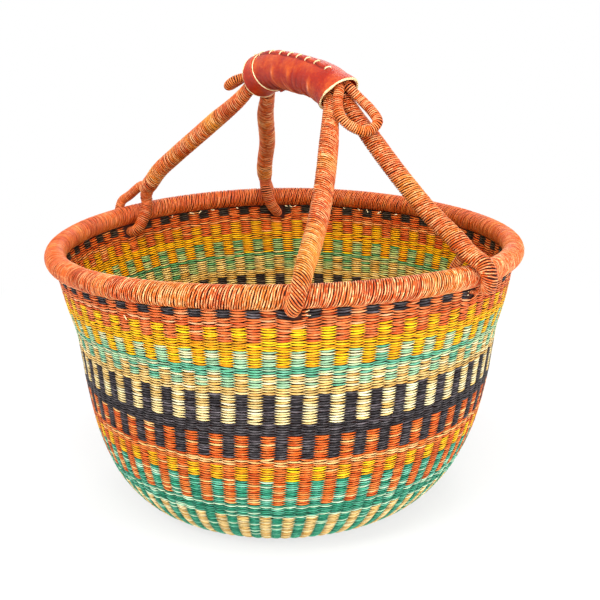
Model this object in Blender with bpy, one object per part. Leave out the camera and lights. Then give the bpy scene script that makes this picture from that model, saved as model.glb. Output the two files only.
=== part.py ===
# Round market basket twined from split grass straw, with a wrapped rim, a four-legged
# handle whose foot strands loop round the rim through the wall, and a laced leather grip.
# Metres, +Z up, -Y is the front. The origin is the middle of the flat base, on the table.

import math

import bmesh
import bpy
import numpy as np
from mathutils import Vector

# Rim: an oval tube, slightly wavy in height
RIM_RADIUS_X = 0.1885
RIM_RADIUS_Y = 0.1783
RIM_TURN = math.radians(-3.5)
RIM_HEIGHT = 0.2165
RIM_TUBE_RADIUS = 0.0087
RIM_WRAP_THICKNESS = 0.0016
RIM_WAVE_ACROSS = 0.0029
RIM_WAVE_SKEWED = 0.0011

# Wall: twined weft over upright stakes, which show as ribs outside
WALL_THICKNESS = 0.0040
WALL_OUTSIDE_OF_RIM_LINE = 0.0010
STAKE_COUNT = 110
RIB_DEPTH = 0.0010
RIB_TWIST = math.radians(2.6)
BASE_LEAN = 0.0047
WALL_SWAY = 0.0016

# Handle
GRIP_HALF_LENGTH = 0.0555
GRIP_BEARING = math.radians(31.7)
GRIP_OFF_CENTRE_X = 0.0133
GRIP_OFF_CENTRE_Y = -0.0143
GRIP_ABOVE_RIM = 0.1345
GRIP_RISE = 0.0037
GRIP_TILT = 0.0034
GRIP_DROOP = 0.0046
GRIP_CORE_RADIUS = 0.0128
LEATHER_THICKNESS = 0.0019
COLLAR_THICKNESS = 0.0012
COLLAR_LENGTH = 0.0130
MOUTH_DEPTH = 0.0070
LEG_RADIUS = 0.0075
LEG_NECK_RADIUS = 0.0054
STRAND_RADIUS = 0.0044
INNER_STRAND_RADIUS = 0.0056
NEAR_STRAND_RADIUS = 0.0032
NEAR_STRAND_FULL_RADIUS = 0.0050
EAR_RADIUS = 0.0038
THREAD_RADIUS = 0.0007
RIDGE_RADIUS = 0.0013

# Fit
GAP = 0.0003
LOOP_PLAY = 0.0018
NOTCH_CLEARANCE = 0.0006

# Bearings of the feet round the rim, from the front towards +X
FOOT_BEARINGS = {
    "front": math.radians(4.5),
    "right": math.radians(46.0),
    "left": math.radians(-129.5),
    "back": math.radians(-175.0),
}

# Outline of the wall: share of the rim radius, share of the wall height
PROFILE_SHARES = (
    (0.460, 0.000), (0.546, 0.005), (0.612, 0.015), (0.657, 0.032), (0.703, 0.063),
    (0.753, 0.113), (0.806, 0.190), (0.863, 0.324), (0.902, 0.495), (0.922, 0.640),
    (0.937, 0.740), (0.969, 0.852), (1.000, 1.000),
)
# Wall bands, each a run of rows twined in one pair of dyed straws:
# share of the wall height at the bottom and top, and the spans in between
BAND_SHARES = {
    "weave_green": (0.065, 0.245, 2),
    "weave_orange": (0.245, 0.443, 1),
    "weave_black": (0.443, 0.689, 1),
    "weave_mint": (0.689, 0.779, 1),
    "weave_yellow": (0.779, 0.923, 1),
    "weave_rust": (0.923, 1.000, 1),
}
BASE_TOP_SHARE = 0.065
BASE_SPANS = 4

# Swelling of the leather: place along the grip from the far mouth to the near one,
# and the added share of the core's radius
GRIP_SWELL_SHARES = ((-1.0, 0.05), (-0.87, 0.0), (-0.30, 0.0), (0.40, -0.06), (0.87, 0.02), (1.0, 0.13))

# Legs, from above the rim to the mouth of the grip: share of the way in, share of the way up,
# and place to one side as a share of the way in
LEG_SHARES = {
    "front": ((0.09, 0.240, 0), (0.29, 0.365, 0), (0.44, 0.475, 0), (0.60, 0.610, 0), (0.75, 0.745, 0),
              (0.89, 0.875, 0)),
    "right": ((0.09, 0.212, 0), (0.29, 0.347, 0), (0.44, 0.467, 0), (0.60, 0.606, 0), (0.75, 0.745, 0),
              (0.89, 0.875, 0)),
    "left": ((0.175, 0.252, 0), (0.25, 0.345, 0), (0.385, 0.462, 0), (0.54, 0.590, 0), (0.705, 0.726, 0),
             (0.865, 0.856, 0)),
    "back": ((0.16, 0.260, -0.023), (0.23, 0.355, -0.016), (0.37, 0.475, -0.006), (0.53, 0.600, -0.011),
             (0.70, 0.730, -0.020), (0.86, 0.855, -0.010)),
}
# Legs of the near feet round the outside of the rim, from the tip in the wall upwards:
# inward, up and sideways, as shares of the reach from the rim's centre to the leg's centre
NEAR_START_SHARES = {
    "front": ((-0.560, -0.740, 0.40), (-0.990, -0.330, 0.34), (-1.000, 0.240, 0.17), (-0.720, 0.820, 0.02),
              (-0.180, 1.250, 0.00)),
    "right": ((-0.550, -0.720, -0.54), (-0.930, -0.360, -0.24), (-1.000, 0.240, -0.02),
              (-0.740, 0.690, 0.02), (-0.060, 1.060, 0.02)),
}
NEAR_TAPER_SHARES = (0.42, 0.60, 0.80, 0.84, 0.85, 0.86, 0.88, 0.90, 0.93, 0.97)
# Strands of the near feet under the rim and up its inside: inward, up and share of the tip's sideways place
NEAR_LOOP_SHARES = ((-0.27, -0.985, 1.0), (0.06, -1.01, 1.0), (0.60, -0.86, 1.0), (1.02, -0.34, 0.95),
                    (1.10, 0.30, 0.85))
# Strands of the far feet, from the fork over the outside of the rim, under it and up its inside:
# inward, up and sideways, as shares of the reach from the rim's centre to the strand's centre
FAR_LOOP_SHARES = {
    "left": ((-0.18, 1.30, 0.00), (-0.86, 0.84, -0.05), (-1.06, 0.04, -0.20), (-0.92, -0.74, -0.40),
             (-0.12, -1.14, -0.52), (0.72, -0.94, -0.45), (1.09, -0.24, -0.14), (1.13, 0.46, 0.16),
             (1.15, 0.95, 0.32)),
    "back": ((-0.18, 1.26, -0.10), (-0.86, 0.84, 0.00), (-1.06, 0.04, 0.25), (-0.92, -0.74, 0.50),
             (-0.12, -1.14, 0.67), (0.72, -0.94, 0.60), (1.09, -0.24, 0.20), (1.13, 0.56, -0.06)),
}
FAR_NOTCH_SHARES = {"left": -0.52, "back": 0.67}
FORK_TAPER_SHARE = 0.84
# Bow of each leg to one side, as a share of its reach
LEG_BOW_SHARES = {"front": -0.030, "right": 0.006, "left": 0.0, "back": 0.0}

# Counts of facets
INNER_COUNT = STAKE_COUNT // 2
RIM_COUNT = 54
TUBE_BEVEL_COUNT = 3
STRAND_BEVEL_COUNT = 1
GRIP_SIDES = 14
GRIP_SPANS = 6


def clear_scene():
    for old in list(bpy.data.objects):
        bpy.data.objects.remove(old, do_unlink=True)


def material(name, colour, roughness=0.75):
    made = bpy.data.materials.new(name)
    made.use_nodes = True
    shader = made.node_tree.nodes["Principled BSDF"]
    shader.inputs["Base Color"].default_value = (*colour, 1.0)
    shader.inputs["Roughness"].default_value = roughness
    shader.inputs["Metallic"].default_value = 0.0
    made.diffuse_color = (*colour, 1.0)
    return made


def add_object(name, data, mat):
    obj = bpy.data.objects.new(name, data)
    bpy.context.scene.collection.objects.link(obj)
    data.materials.append(mat)
    return obj


def mesh_object(name, verts, faces, mat, smooth_angle=math.radians(50.0)):
    mesh = bpy.data.meshes.new(name)
    mesh.from_pydata([tuple(v) for v in verts], [], faces)
    bm = bmesh.new()
    bm.from_mesh(mesh)
    bmesh.ops.recalc_face_normals(bm, faces=bm.faces)
    bm.to_mesh(mesh)
    bm.free()
    mesh.shade_smooth()
    mesh.set_sharp_from_angle(angle=smooth_angle)
    return add_object(name, mesh, mat)


def smooth_through(points, steps):
    # Catmull-Rom curve through the points, with steps pieces between neighbours
    knots = [Vector(p) for p in points]
    knots = [2 * knots[0] - knots[1]] + knots + [2 * knots[-1] - knots[-2]]
    curve = []
    for i in range(1, len(knots) - 2):
        a, b, c, d = knots[i - 1:i + 3]
        for k in range(steps):
            u = k / steps
            curve.append(0.5 * (2 * b + (c - a) * u + (2 * a - 5 * b + 4 * c - d) * u ** 2
                                + (3 * b - a - 3 * c + d) * u ** 3))
    curve.append(knots[-2].copy())
    return curve


def tube(name, centres, radii, mat, bevel):
    # A curve object with round section and filled caps, one radius for each point
    curve = bpy.data.curves.new(name, "CURVE")
    curve.dimensions = "3D"
    curve.twist_mode = "MINIMUM"
    widest = max(radii)
    curve.bevel_depth = widest
    curve.bevel_resolution = bevel
    curve.use_fill_caps = True
    spline = curve.splines.new("POLY")
    spline.points.add(len(centres) - 1)
    for point, centre, radius in zip(spline.points, centres, radii):
        point.co = (*centre, 1.0)
        point.radius = radius / widest
    spline.use_smooth = True
    return add_object(name, curve, mat)


# The oval that the rim and the wall follow

def oval(bearing):
    # Distance to the oval as a share of RIM_RADIUS_X
    turned = bearing - RIM_TURN
    flat = RIM_RADIUS_X / RIM_RADIUS_Y
    return 1.0 / math.hypot(math.sin(turned), flat * math.cos(turned))


def heading(bearing):
    return Vector((math.sin(bearing), -math.cos(bearing), 0.0))


def wave(bearing):
    turned = bearing - RIM_TURN
    return RIM_WAVE_ACROSS * math.cos(2 * turned) + RIM_WAVE_SKEWED * math.sin(2 * turned)


def rim_point(bearing):
    return heading(bearing) * RIM_RADIUS_X * oval(bearing) + Vector((0, 0, RIM_HEIGHT + wave(bearing)))


def rim_frame(bearing):
    # The rim's centre, its outward direction square to the rim, and up
    step = math.radians(1.0)
    along = rim_point(bearing + step) - rim_point(bearing - step)
    out = Vector((along.y, -along.x, 0.0)).normalized()
    return rim_point(bearing), out, Vector((0, 0, 1))


# Wall

CORE_RADIUS = RIM_TUBE_RADIUS - RIM_WRAP_THICKNESS - GAP
WALL_HEIGHT = RIM_HEIGHT - CORE_RADIUS - GAP
PROFILE = smooth_through([(r, s, 0) for r, s in PROFILE_SHARES], 12)
PROFILE_RADII = np.array([p.x for p in PROFILE])
PROFILE_HEIGHTS = np.array([p.y for p in PROFILE])


def profile_at(share):
    # Radius and height of the outer face, and its outward normal, in the upright plane
    fine = 0.004
    radius = float(np.interp(share, PROFILE_HEIGHTS, PROFILE_RADII)) * RIM_RADIUS_X
    below = float(np.interp(max(share - fine, 0.0), PROFILE_HEIGHTS, PROFILE_RADII)) * RIM_RADIUS_X
    above = float(np.interp(min(share + fine, 1.0), PROFILE_HEIGHTS, PROFILE_RADII)) * RIM_RADIUS_X
    rise = (min(share + fine, 1.0) - max(share - fine, 0.0)) * WALL_HEIGHT
    slope = Vector((rise, below - above)).normalized()
    return radius, share * WALL_HEIGHT, slope


def wall_point(bearing, share, depth):
    # A point depth below the outer face. The plan runs from a circle at the base to the rim's oval
    radius, height, normal = profile_at(share)
    radius -= depth * normal.x
    height -= depth * normal.y
    round_share = 1.0 + share * (oval(bearing) - 1.0)
    turned = bearing - RIB_TWIST * (1.0 - share)
    reach = radius * round_share + WALL_OUTSIDE_OF_RIM_LINE * share
    place = heading(turned) * reach
    place.x += 4 * WALL_SWAY * share * (1.0 - share) - BASE_LEAN * (1.0 - share) ** 2
    place.z = height + wave(bearing) * share ** 2
    return place


def wall_ring(share, depth, count, rib=0.0):
    # Points round the wall; with a rib depth, every second point lies in a groove
    ring = []
    for i in range(count):
        groove = rib if i % 2 else 0.0
        ring.append(wall_point(2 * math.pi * i / count, share, depth + groove))
    return ring


def join_rings(faces, lower, upper):
    # Faces between two closed rings of vertex numbers; one may have a multiple of the other's points
    if len(lower) == len(upper):
        for i in range(len(lower)):
            j = (i + 1) % len(lower)
            faces.append((lower[i], lower[j], upper[j], upper[i]))
        return
    many, few = (lower, upper) if len(lower) > len(upper) else (upper, lower)
    ratio = len(many) // len(few)
    for k in range(len(few)):
        first = k * ratio - ratio // 2
        fan = [many[(first + m) % len(many)] for m in range(ratio + 1)]
        for m in range(ratio):
            faces.append((few[k], fan[m], fan[m + 1]))
        faces.append((few[k], fan[-1], few[(k + 1) % len(few)]))


def wall_band(name, bottom, top, spans, mat):
    # One closed ring of wall: ribbed outside, plain inside, a small gap to its neighbours
    half_gap = 0.5 * GAP / WALL_HEIGHT
    low = bottom + half_gap
    high = top - half_gap if top < 1.0 else top
    shares = [low + (high - low) * k / spans for k in range(spans + 1)]
    verts = []
    rings = []
    for share in shares:
        rings.append(wall_ring(share, 0.0, 2 * STAKE_COUNT, RIB_DEPTH))
    for share in reversed(shares):
        rings.append(wall_ring(share, WALL_THICKNESS, INNER_COUNT))
    numbered = []
    for ring in rings:
        numbered.append(list(range(len(verts), len(verts) + len(ring))))
        verts.extend(ring)
    faces = []
    for k, ring in enumerate(numbered):
        join_rings(faces, ring, numbered[(k + 1) % len(numbered)])
    return mesh_object(name, verts, faces, mat)


def woven_base(mat):
    # The dished base: flat underneath, turned up into the wall
    top = BASE_TOP_SHARE - 0.5 * GAP / WALL_HEIGHT
    outer_shares = [top * (k / BASE_SPANS) ** 2 for k in range(BASE_SPANS + 1)]
    verts = []
    numbered = []

    def add_ring(ring):
        numbered.append(list(range(len(verts), len(verts) + len(ring))))
        verts.extend(ring)

    for share in outer_shares:
        add_ring(wall_ring(share, 0.0, STAKE_COUNT))
    inner_shares = [share for share in outer_shares if share > 0.3 * top]
    for share in reversed(inner_shares):
        add_ring(wall_ring(share, WALL_THICKNESS, INNER_COUNT))
    floor = wall_ring(0.0, 0.0, INNER_COUNT)
    add_ring([Vector((p.x, p.y, WALL_THICKNESS)) for p in floor])
    faces = []
    for lower, upper in zip(numbered, numbered[1:]):
        join_rings(faces, lower, upper)
    faces.append(tuple(numbered[0]))
    faces.append(tuple(numbered[-1]))
    return mesh_object("woven_base", verts, faces, mat)


# Rim

def sweep_round_rim(name, section, mat):
    # A closed outline of (outward, up) points carried once round the rim
    verts = []
    for i in range(RIM_COUNT):
        centre, out, up = rim_frame(2 * math.pi * i / RIM_COUNT)
        for x, z in section:
            verts.append(centre + out * x + up * z)
    size = len(section)
    faces = []
    for i in range(RIM_COUNT):
        here = i * size
        there = ((i + 1) % RIM_COUNT) * size
        for k in range(size):
            m = (k + 1) % size
            faces.append((here + k, here + m, there + m, there + k))
    return mesh_object(name, verts, faces, mat)


def rim_core(mat):
    sides = 8
    section = []
    for k in range(sides):
        angle = 2 * math.pi * (k + 0.5) / sides - math.pi / 2
        section.append((CORE_RADIUS * math.cos(angle), CORE_RADIUS * math.sin(angle)))
    return sweep_round_rim("rim_core", section, mat)


def rim_wrap(mat):
    # Straw wound round the core, parted underneath where the wall's stakes come in
    outer_side = WALL_OUTSIDE_OF_RIM_LINE + 2 * GAP
    inner_side = WALL_OUTSIDE_OF_RIM_LINE - WALL_THICKNESS - 2 * GAP
    lining = RIM_TUBE_RADIUS - RIM_WRAP_THICKNESS

    def arc(radius, steps):
        start = -math.pi / 2 + math.asin(outer_side / radius)
        end = 1.5 * math.pi + math.asin(inner_side / radius)
        angles = [start + (end - start) * k / steps for k in range(steps + 1)]
        return [(radius * math.cos(a), radius * math.sin(a)) for a in angles]

    outside = arc(RIM_TUBE_RADIUS, 8)
    inside = arc(lining / math.cos(math.pi / 8), 7)
    return sweep_round_rim("rim_wrap", outside + inside[::-1], mat)


# Handle

COLLAR_END = -1.0 + COLLAR_LENGTH / GRIP_HALF_LENGTH
CORE_END = 1.0 - MOUTH_DEPTH / GRIP_HALF_LENGTH
COLLAR_STATIONS = [-1.0, -CORE_END, COLLAR_END]
SLEEVE_STATIONS = COLLAR_STATIONS + [
    COLLAR_END + (CORE_END - COLLAR_END) * k / GRIP_SPANS for k in range(1, GRIP_SPANS + 1)
] + [1.0]


def grip_point(along):
    # The arched middle line of the grip, from -1 at the far mouth to 1 at the near mouth
    way = heading(GRIP_BEARING) * GRIP_HALF_LENGTH * along
    height = RIM_HEIGHT + GRIP_ABOVE_RIM + GRIP_RISE * (1.0 - along ** 2)
    height -= GRIP_TILT * along + GRIP_DROOP * along ** 4
    return way + Vector((GRIP_OFF_CENTRE_X, GRIP_OFF_CENTRE_Y, height))


def swell(along):
    places, shares = zip(*GRIP_SWELL_SHARES)
    return GRIP_CORE_RADIUS * float(np.interp(along, places, shares))


def grip_frame(along):
    # Middle, direction towards the near mouth, across and up
    fine = 0.01
    middle = grip_point(along)
    direction = (grip_point(along + fine) - grip_point(along - fine)).normalized()
    across = Vector((-heading(GRIP_BEARING).y, heading(GRIP_BEARING).x, 0.0))
    return middle, direction, across, across.cross(direction) * -1.0


def socket_frame(end):
    # The end face of the grip core inside the leather, with the direction pointing out
    middle, direction, across, up = grip_frame(end * CORE_END)
    return middle, direction * end, across, up


def socket_place(end, side, lift, out):
    # A place side across and lift above the middle of the core's end face, and out of it
    middle, direction, across, up = socket_frame(end)
    return middle + across * side + up * lift + direction * out


def sleeve(name, stations, inner, outer, mat):
    # A leather tube round part of the grip, open at both ends
    verts = []
    rings = []
    for radius, order in ((outer, stations), (inner, stations[::-1])):
        for along in order:
            middle, _, across, up = grip_frame(along)
            ring = []
            reach = radius + swell(along)
            for m in range(GRIP_SIDES):
                angle = 2 * math.pi * m / GRIP_SIDES
                ring.append(len(verts))
                verts.append(middle + (across * math.cos(angle) + up * math.sin(angle)) * reach)
            rings.append(ring)
    faces = []
    for k, ring in enumerate(rings):
        join_rings(faces, ring, rings[(k + 1) % len(rings)])
    return mesh_object(name, verts, faces, mat)


def grip_core(mat):
    # The bundled grass inside the leather; its ends are square to the strands that meet them
    square = 0.2 * GRIP_CORE_RADIUS
    between = [along for along in SLEEVE_STATIONS if abs(along) < 0.95 * CORE_END]
    centres = [socket_place(-1, 0.0, 0.0, 0.0), socket_place(-1, 0.0, 0.0, -square)]
    centres += [grip_point(along) for along in between]
    centres += [socket_place(1, 0.0, 0.0, -square), socket_place(1, 0.0, 0.0, 0.0)]
    radii = [GRIP_CORE_RADIUS] * 2 + [GRIP_CORE_RADIUS + swell(along) for along in between]
    return tube("grip_core", centres, radii + [GRIP_CORE_RADIUS] * 2, mat, TUBE_BEVEL_COUNT)


def thread_ring(name, along, radius, mat):
    # A thread laid once round the leather
    middle, direction, across, up = grip_frame(along)
    sides = 5
    verts = []
    for m in range(GRIP_SIDES):
        angle = 2 * math.pi * m / GRIP_SIDES
        out = across * math.cos(angle) + up * math.sin(angle)
        for k in range(sides):
            turn = 2 * math.pi * k / sides
            verts.append(middle + out * (radius + THREAD_RADIUS * math.cos(turn))
                         + direction * THREAD_RADIUS * math.sin(turn))
    faces = []
    for m in range(GRIP_SIDES):
        here = m * sides
        there = ((m + 1) % GRIP_SIDES) * sides
        for k in range(sides):
            n = (k + 1) % sides
            faces.append((here + k, here + n, there + n, there + k))
    return mesh_object(name, verts, faces, mat)


def foot_frame(foot, end):
    # The rim's centre at a foot, level direction to the mouth of the grip, across and up
    centre = rim_point(FOOT_BEARINGS[foot])
    mouth = grip_point(end)
    inward = Vector((mouth.x - centre.x, mouth.y - centre.y, 0.0)).normalized()
    return centre, inward, Vector((-inward.y, inward.x, 0.0)), Vector((0, 0, 1))


CLEAR = RIM_TUBE_RADIUS + GAP
LEG_SIDE = LEG_NECK_RADIUS + 1.5 * GAP
LEG_DROP = 0.25 * GRIP_CORE_RADIUS
EAR_SIDE = EAR_RADIUS + 1.5 * GAP
EAR_LIFT = 0.55 * GRIP_CORE_RADIUS
SKIRT = CLEAR + LEG_RADIUS
NEAR_LOW = CLEAR + LOOP_PLAY + NEAR_STRAND_RADIUS
# Inward, up and sideways from the rim's centre to the lower end of a forked leg
FORK_PLACES = {
    "left": (1.82 * CLEAR, 2.72 * CLEAR, 0.20 * CLEAR),
    "back": (1.20 * CLEAR, 2.25 * CLEAR, -0.25 * CLEAR),
}
# Points of a strand that stay thin
NEAR_THIN_COUNT = 5
FAR_THIN_COUNT = 11
# How far the fork's outer strand is from the middle of the leg, as a share of both strands' distance
OUTER_PRONG_SHARE = 0.62
# Points of a near leg's path between which its strand meets the leg's underside
NEAR_JOINT = (9, 10)
# Turn of that meeting place round the leg from its underside
NEAR_JOINT_TURNS = {"front": 0.0, "right": math.radians(-50.0)}


def leg_path(foot, end, side, start):
    # Smooth line from the foot points through the shares to the end of the grip core
    centre, inward, _, up = foot_frame(foot, end)
    mouth = socket_place(end, side * LEG_SIDE, -LEG_DROP, MOUTH_DEPTH)
    reach = (Vector((mouth.x, mouth.y, 0)) - Vector((centre.x, centre.y, 0)))
    rise = mouth.z - centre.z
    across = Vector((-inward.y, inward.x, 0.0))
    points = [centre + inward * x + up * z + across * side_place for x, z, side_place in start]
    sideways = Vector((-reach.y, reach.x, 0))
    for x, z, y in LEG_SHARES[foot]:
        bow = LEG_BOW_SHARES[foot] * 4 * x * (1.0 - x)
        points.append(centre + reach * x + up * rise * z + sideways * (y + bow))
    points.append(mouth)
    return smooth_through(points, 2) + [socket_place(end, side * LEG_SIDE, -LEG_DROP, GAP)]


def leg_radii(count):
    # Full width, and a little thinner inside the leather
    radii = []
    for k in range(count):
        radius = LEG_RADIUS
        if k >= count - 5:
            radius = LEG_RADIUS + (LEG_NECK_RADIUS - LEG_RADIUS) * min((k - count + 6) / 4, 1.0)
        radii.append(radius)
    return radii


def near_leg_path(foot, side):
    # Over the outside of the rim, then straight for the grip
    start = [(x * SKIRT, z * SKIRT, y * SKIRT) for x, z, y in NEAR_START_SHARES[foot]]
    return leg_path(foot, 1, side, start)


def near_radii(count):
    # Slimmer round the rim than above it, and tapered to where the leg enters the wall
    radii = leg_radii(count)
    for k, share in enumerate(NEAR_TAPER_SHARES):
        radii[k] = LEG_RADIUS * share
    return radii


def near_leg(foot, side, mat):
    path = near_leg_path(foot, side)
    return tube("leg_" + foot, path, near_radii(len(path)), mat, TUBE_BEVEL_COUNT)


def far_leg(foot, side, mat):
    # A leg that ends in a fork above the rim
    path = leg_path(foot, -1, side, (FORK_PLACES[foot], ))
    radii = leg_radii(len(path))
    radii[0] = LEG_RADIUS * FORK_TAPER_SHARE
    return tube("leg_" + foot, path, radii, mat, TUBE_BEVEL_COUNT)


def near_loop_path(foot, side_of_grip):
    # From the leg's tip through the wall, up inside the rim and to the leg's underside
    centre, inward, across, up = foot_frame(foot, 1)
    leg = near_leg_path(foot, side_of_grip)
    onward = (leg[0] - leg[1]).normalized()
    points = [leg[0] + onward * (GAP + 0.3 * NEAR_STRAND_RADIUS)]
    points += [centre + inward * x * NEAR_LOW + up * z * NEAR_LOW + across * y * tip_side(foot)
               for x, z, y in NEAR_LOOP_SHARES]
    turn = NEAR_JOINT_TURNS[foot]
    for k in NEAR_JOINT:
        along = (leg[k + 1] - leg[k - 1]).normalized()
        beside = across.cross(along) * math.cos(turn) + across * math.sin(turn)
        points.append(leg[k] + beside * (LEG_RADIUS + NEAR_STRAND_FULL_RADIUS + 2 * GAP))
    return [leg[0] + onward * GAP] + smooth_through(points, 2)


def near_loop(foot, side_of_grip, mat):
    # Thin where it goes through the wall, thicker up to the leg
    path = near_loop_path(foot, side_of_grip)
    radii = [NEAR_STRAND_RADIUS + (NEAR_STRAND_FULL_RADIUS - NEAR_STRAND_RADIUS)
             * min(max((k - NEAR_THIN_COUNT) / 4, 0.0), 1.0) for k in range(len(path))]
    return tube("foot_loop_" + foot, path, radii, mat, STRAND_BEVEL_COUNT)


def far_loop_path(foot, side_of_grip):
    # The fork's two strands, one outside and one inside the rim, meeting in the wall
    centre, inward, across, up = foot_frame(foot, -1)
    side = CLEAR + STRAND_RADIUS
    leg = leg_path(foot, -1, side_of_grip, (FORK_PLACES[foot], ))
    rise = (leg[1] - leg[0]).normalized()
    crotch = leg[0] - rise * GAP
    apart = rise.cross(across).normalized() * (STRAND_RADIUS + INNER_STRAND_RADIUS + 2 * GAP)
    outer = crotch + apart * OUTER_PRONG_SHARE
    inner = crotch - apart * (1.0 - OUTER_PRONG_SHARE)
    points = [outer - rise * 0.9 * STRAND_RADIUS]
    points += [centre + inward * x * side + up * z * side + across * y * side
               for x, z, y in FAR_LOOP_SHARES[foot]]
    points.append(inner - rise * STRAND_RADIUS)
    return [outer] + smooth_through(points, 2) + [inner]


def far_loop(foot, side_of_grip, mat):
    # Thicker on the inside of the rim
    path = far_loop_path(foot, side_of_grip)
    radii = [STRAND_RADIUS + (INNER_STRAND_RADIUS - STRAND_RADIUS)
             * min(max((k - FAR_THIN_COUNT) / 4, 0.0), 1.0) for k in range(len(path))]
    return tube("foot_loop_" + foot, path, radii, mat, STRAND_BEVEL_COUNT)


def tip_side(foot):
    # How far sideways of the foot's bearing the strand goes through the wall
    if foot in NEAR_START_SHARES:
        return NEAR_START_SHARES[foot][0][2] * SKIRT
    return FAR_NOTCH_SHARES[foot] * (CLEAR + STRAND_RADIUS)


def notch_cutter(foot, end):
    # A round-bottomed slot through the top of the wall for one foot strand
    centre, inward, across, up = foot_frame(foot, end)
    centre = centre + across * tip_side(foot)
    radius = NEAR_STRAND_RADIUS if foot in NEAR_START_SHARES else STRAND_RADIUS
    half = radius + NOTCH_CLEARANCE
    depth = CLEAR + LOOP_PLAY + radius
    outline = [(half, 0.0)]
    for k in range(9):
        angle = -math.pi * k / 8
        outline.append((half * math.cos(angle), half * math.sin(angle) - depth))
    outline.append((-half, 0.0))
    reach = 3 * WALL_THICKNESS
    verts = []
    for way in (-reach, reach):
        verts += [centre + across * x + up * z + inward * way for x, z in outline]
    size = len(outline)
    faces = [tuple(range(size)), tuple(range(size, 2 * size))]
    for k in range(size):
        m = (k + 1) % size
        faces.append((k, m, size + m, size + k))
    cutter = mesh_object("cut_for_" + foot, verts, faces, material("cutter", (0.5, 0.5, 0.5)))
    cutter.hide_render = True
    cutter.display_type = "WIRE"
    return cutter


def cut(obj, cutter):
    modifier = obj.modifiers.new("notch", "BOOLEAN")
    modifier.operation = "DIFFERENCE"
    modifier.solver = "EXACT"
    modifier.object = cutter


def ear_loop(name, end, offset_shares, mat):
    # A thin strand that leaves the mouth, turns back in a loop and goes in again
    clear_of_leather = MOUTH_DEPTH + 1.2 * EAR_RADIUS
    points = [socket_place(end, -EAR_SIDE, EAR_LIFT, clear_of_leather)]
    points += [grip_point(end) + Vector(offset) * GRIP_HALF_LENGTH for offset in offset_shares]
    points.append(socket_place(end, EAR_SIDE, EAR_LIFT, clear_of_leather))
    path = [socket_place(end, -EAR_SIDE, EAR_LIFT, GAP)] + smooth_through(points, 2)
    path.append(socket_place(end, EAR_SIDE, EAR_LIFT, GAP))
    return tube(name, path, [EAR_RADIUS] * len(path), mat, STRAND_BEVEL_COUNT)


# Ear loops: offsets from the mouth's middle as shares of the grip's half length
RIGHT_EAR_SHARES = (
    (-0.03, -0.30, -0.10), (0.02, -0.43, -0.28), (0.19, -0.46, -0.41), (0.37, -0.44, -0.45),
    (0.50, -0.36, -0.34), (0.42, -0.23, -0.20), (0.31, -0.11, -0.09),
)
LEFT_EAR_SHARES = (
    (-0.22, 0.26, -0.02), (-0.42, 0.24, -0.08), (-0.53, 0.30, -0.17),
    (-0.47, 0.42, -0.17), (-0.26, 0.40, -0.05),
)


def seam_ridge(mat):
    # The folded and laced edge of the leather along the top
    outer = (GRIP_CORE_RADIUS + GAP) / math.cos(math.pi / GRIP_SIDES) + LEATHER_THICKNESS
    tilt = math.radians(102.0)
    start = -1.0 + (COLLAR_LENGTH + 2 * RIDGE_RADIUS) / GRIP_HALF_LENGTH
    finish = 0.70
    count = 12
    centres = []
    radii = []
    for k in range(count):
        share = k / (count - 1)
        middle, _, across, up = grip_frame(start + (finish - start) * share)
        stand = outer + swell(start + (finish - start) * share) + GAP + RIDGE_RADIUS
        centres.append(middle + (across * math.cos(tilt) + up * math.sin(tilt)) * stand)
        radii.append(RIDGE_RADIUS * (0.55 if k in (0, count - 1) else 1.0))
    return tube("seam_ridge", centres, radii, mat, 1)


def build():
    clear_scene()
    straw = {
        "weave_green": material("green straw", (0.07, 0.33, 0.22)),
        "weave_orange": material("orange straw", (0.66, 0.15, 0.03)),
        "weave_black": material("black straw", (0.035, 0.03, 0.03)),
        "weave_mint": material("mint straw", (0.30, 0.55, 0.38)),
        "weave_yellow": material("yellow straw", (0.90, 0.50, 0.01)),
        "weave_rust": material("rust straw", (0.55, 0.10, 0.03)),
        "woven_base": material("natural straw", (0.60, 0.42, 0.16)),
    }
    wrap = material("terracotta wrapping straw", (0.66, 0.19, 0.06))
    bundle = material("bundled grass", (0.52, 0.36, 0.15))
    leather = material("orange leather", (0.58, 0.08, 0.02), 0.42)
    collar = material("collar leather", (0.42, 0.04, 0.01), 0.45)
    thread = material("natural thread", (0.80, 0.66, 0.36))

    woven_base(straw["woven_base"])
    bands = {}
    for name, (bottom, top, spans) in BAND_SHARES.items():
        bands[name] = wall_band(name, bottom, top, spans, straw[name])
    for foot, end in (("front", 1), ("right", 1), ("left", -1), ("back", -1)):
        cut(bands["weave_rust"], notch_cutter(foot, end))

    rim_core(bundle)
    rim_wrap(wrap)

    near_leg("front", -1, wrap)
    near_leg("right", 1, wrap)
    far_leg("left", -1, wrap)
    far_leg("back", 1, wrap)
    near_loop("front", -1, wrap)
    near_loop("right", 1, wrap)
    far_loop("left", -1, wrap)
    far_loop("back", 1, wrap)
    ear_loop("ear_loop_right", 1, RIGHT_EAR_SHARES, wrap)
    ear_loop("ear_loop_left", -1, LEFT_EAR_SHARES, wrap)

    grip_core(bundle)
    lining = (GRIP_CORE_RADIUS + GAP) / math.cos(math.pi / GRIP_SIDES)
    outer = lining + LEATHER_THICKNESS
    sleeve("leather_sleeve", SLEEVE_STATIONS, lining, outer, leather)
    sleeve("leather_collar", COLLAR_STATIONS, outer + GAP, outer + GAP + COLLAR_THICKNESS, collar)
    seam_ridge(leather)
    beside = COLLAR_END + (THREAD_RADIUS + GAP) / GRIP_HALF_LENGTH
    thread_ring("seam_thread", beside, outer + GAP + THREAD_RADIUS, thread)


build()
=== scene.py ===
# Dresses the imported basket: twined wall, wound rim and handle, laced leather grip.
# Metres, +Z up, -Y is the front. The wall, rim and handle follow the same oval as the solids.

import math

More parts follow.
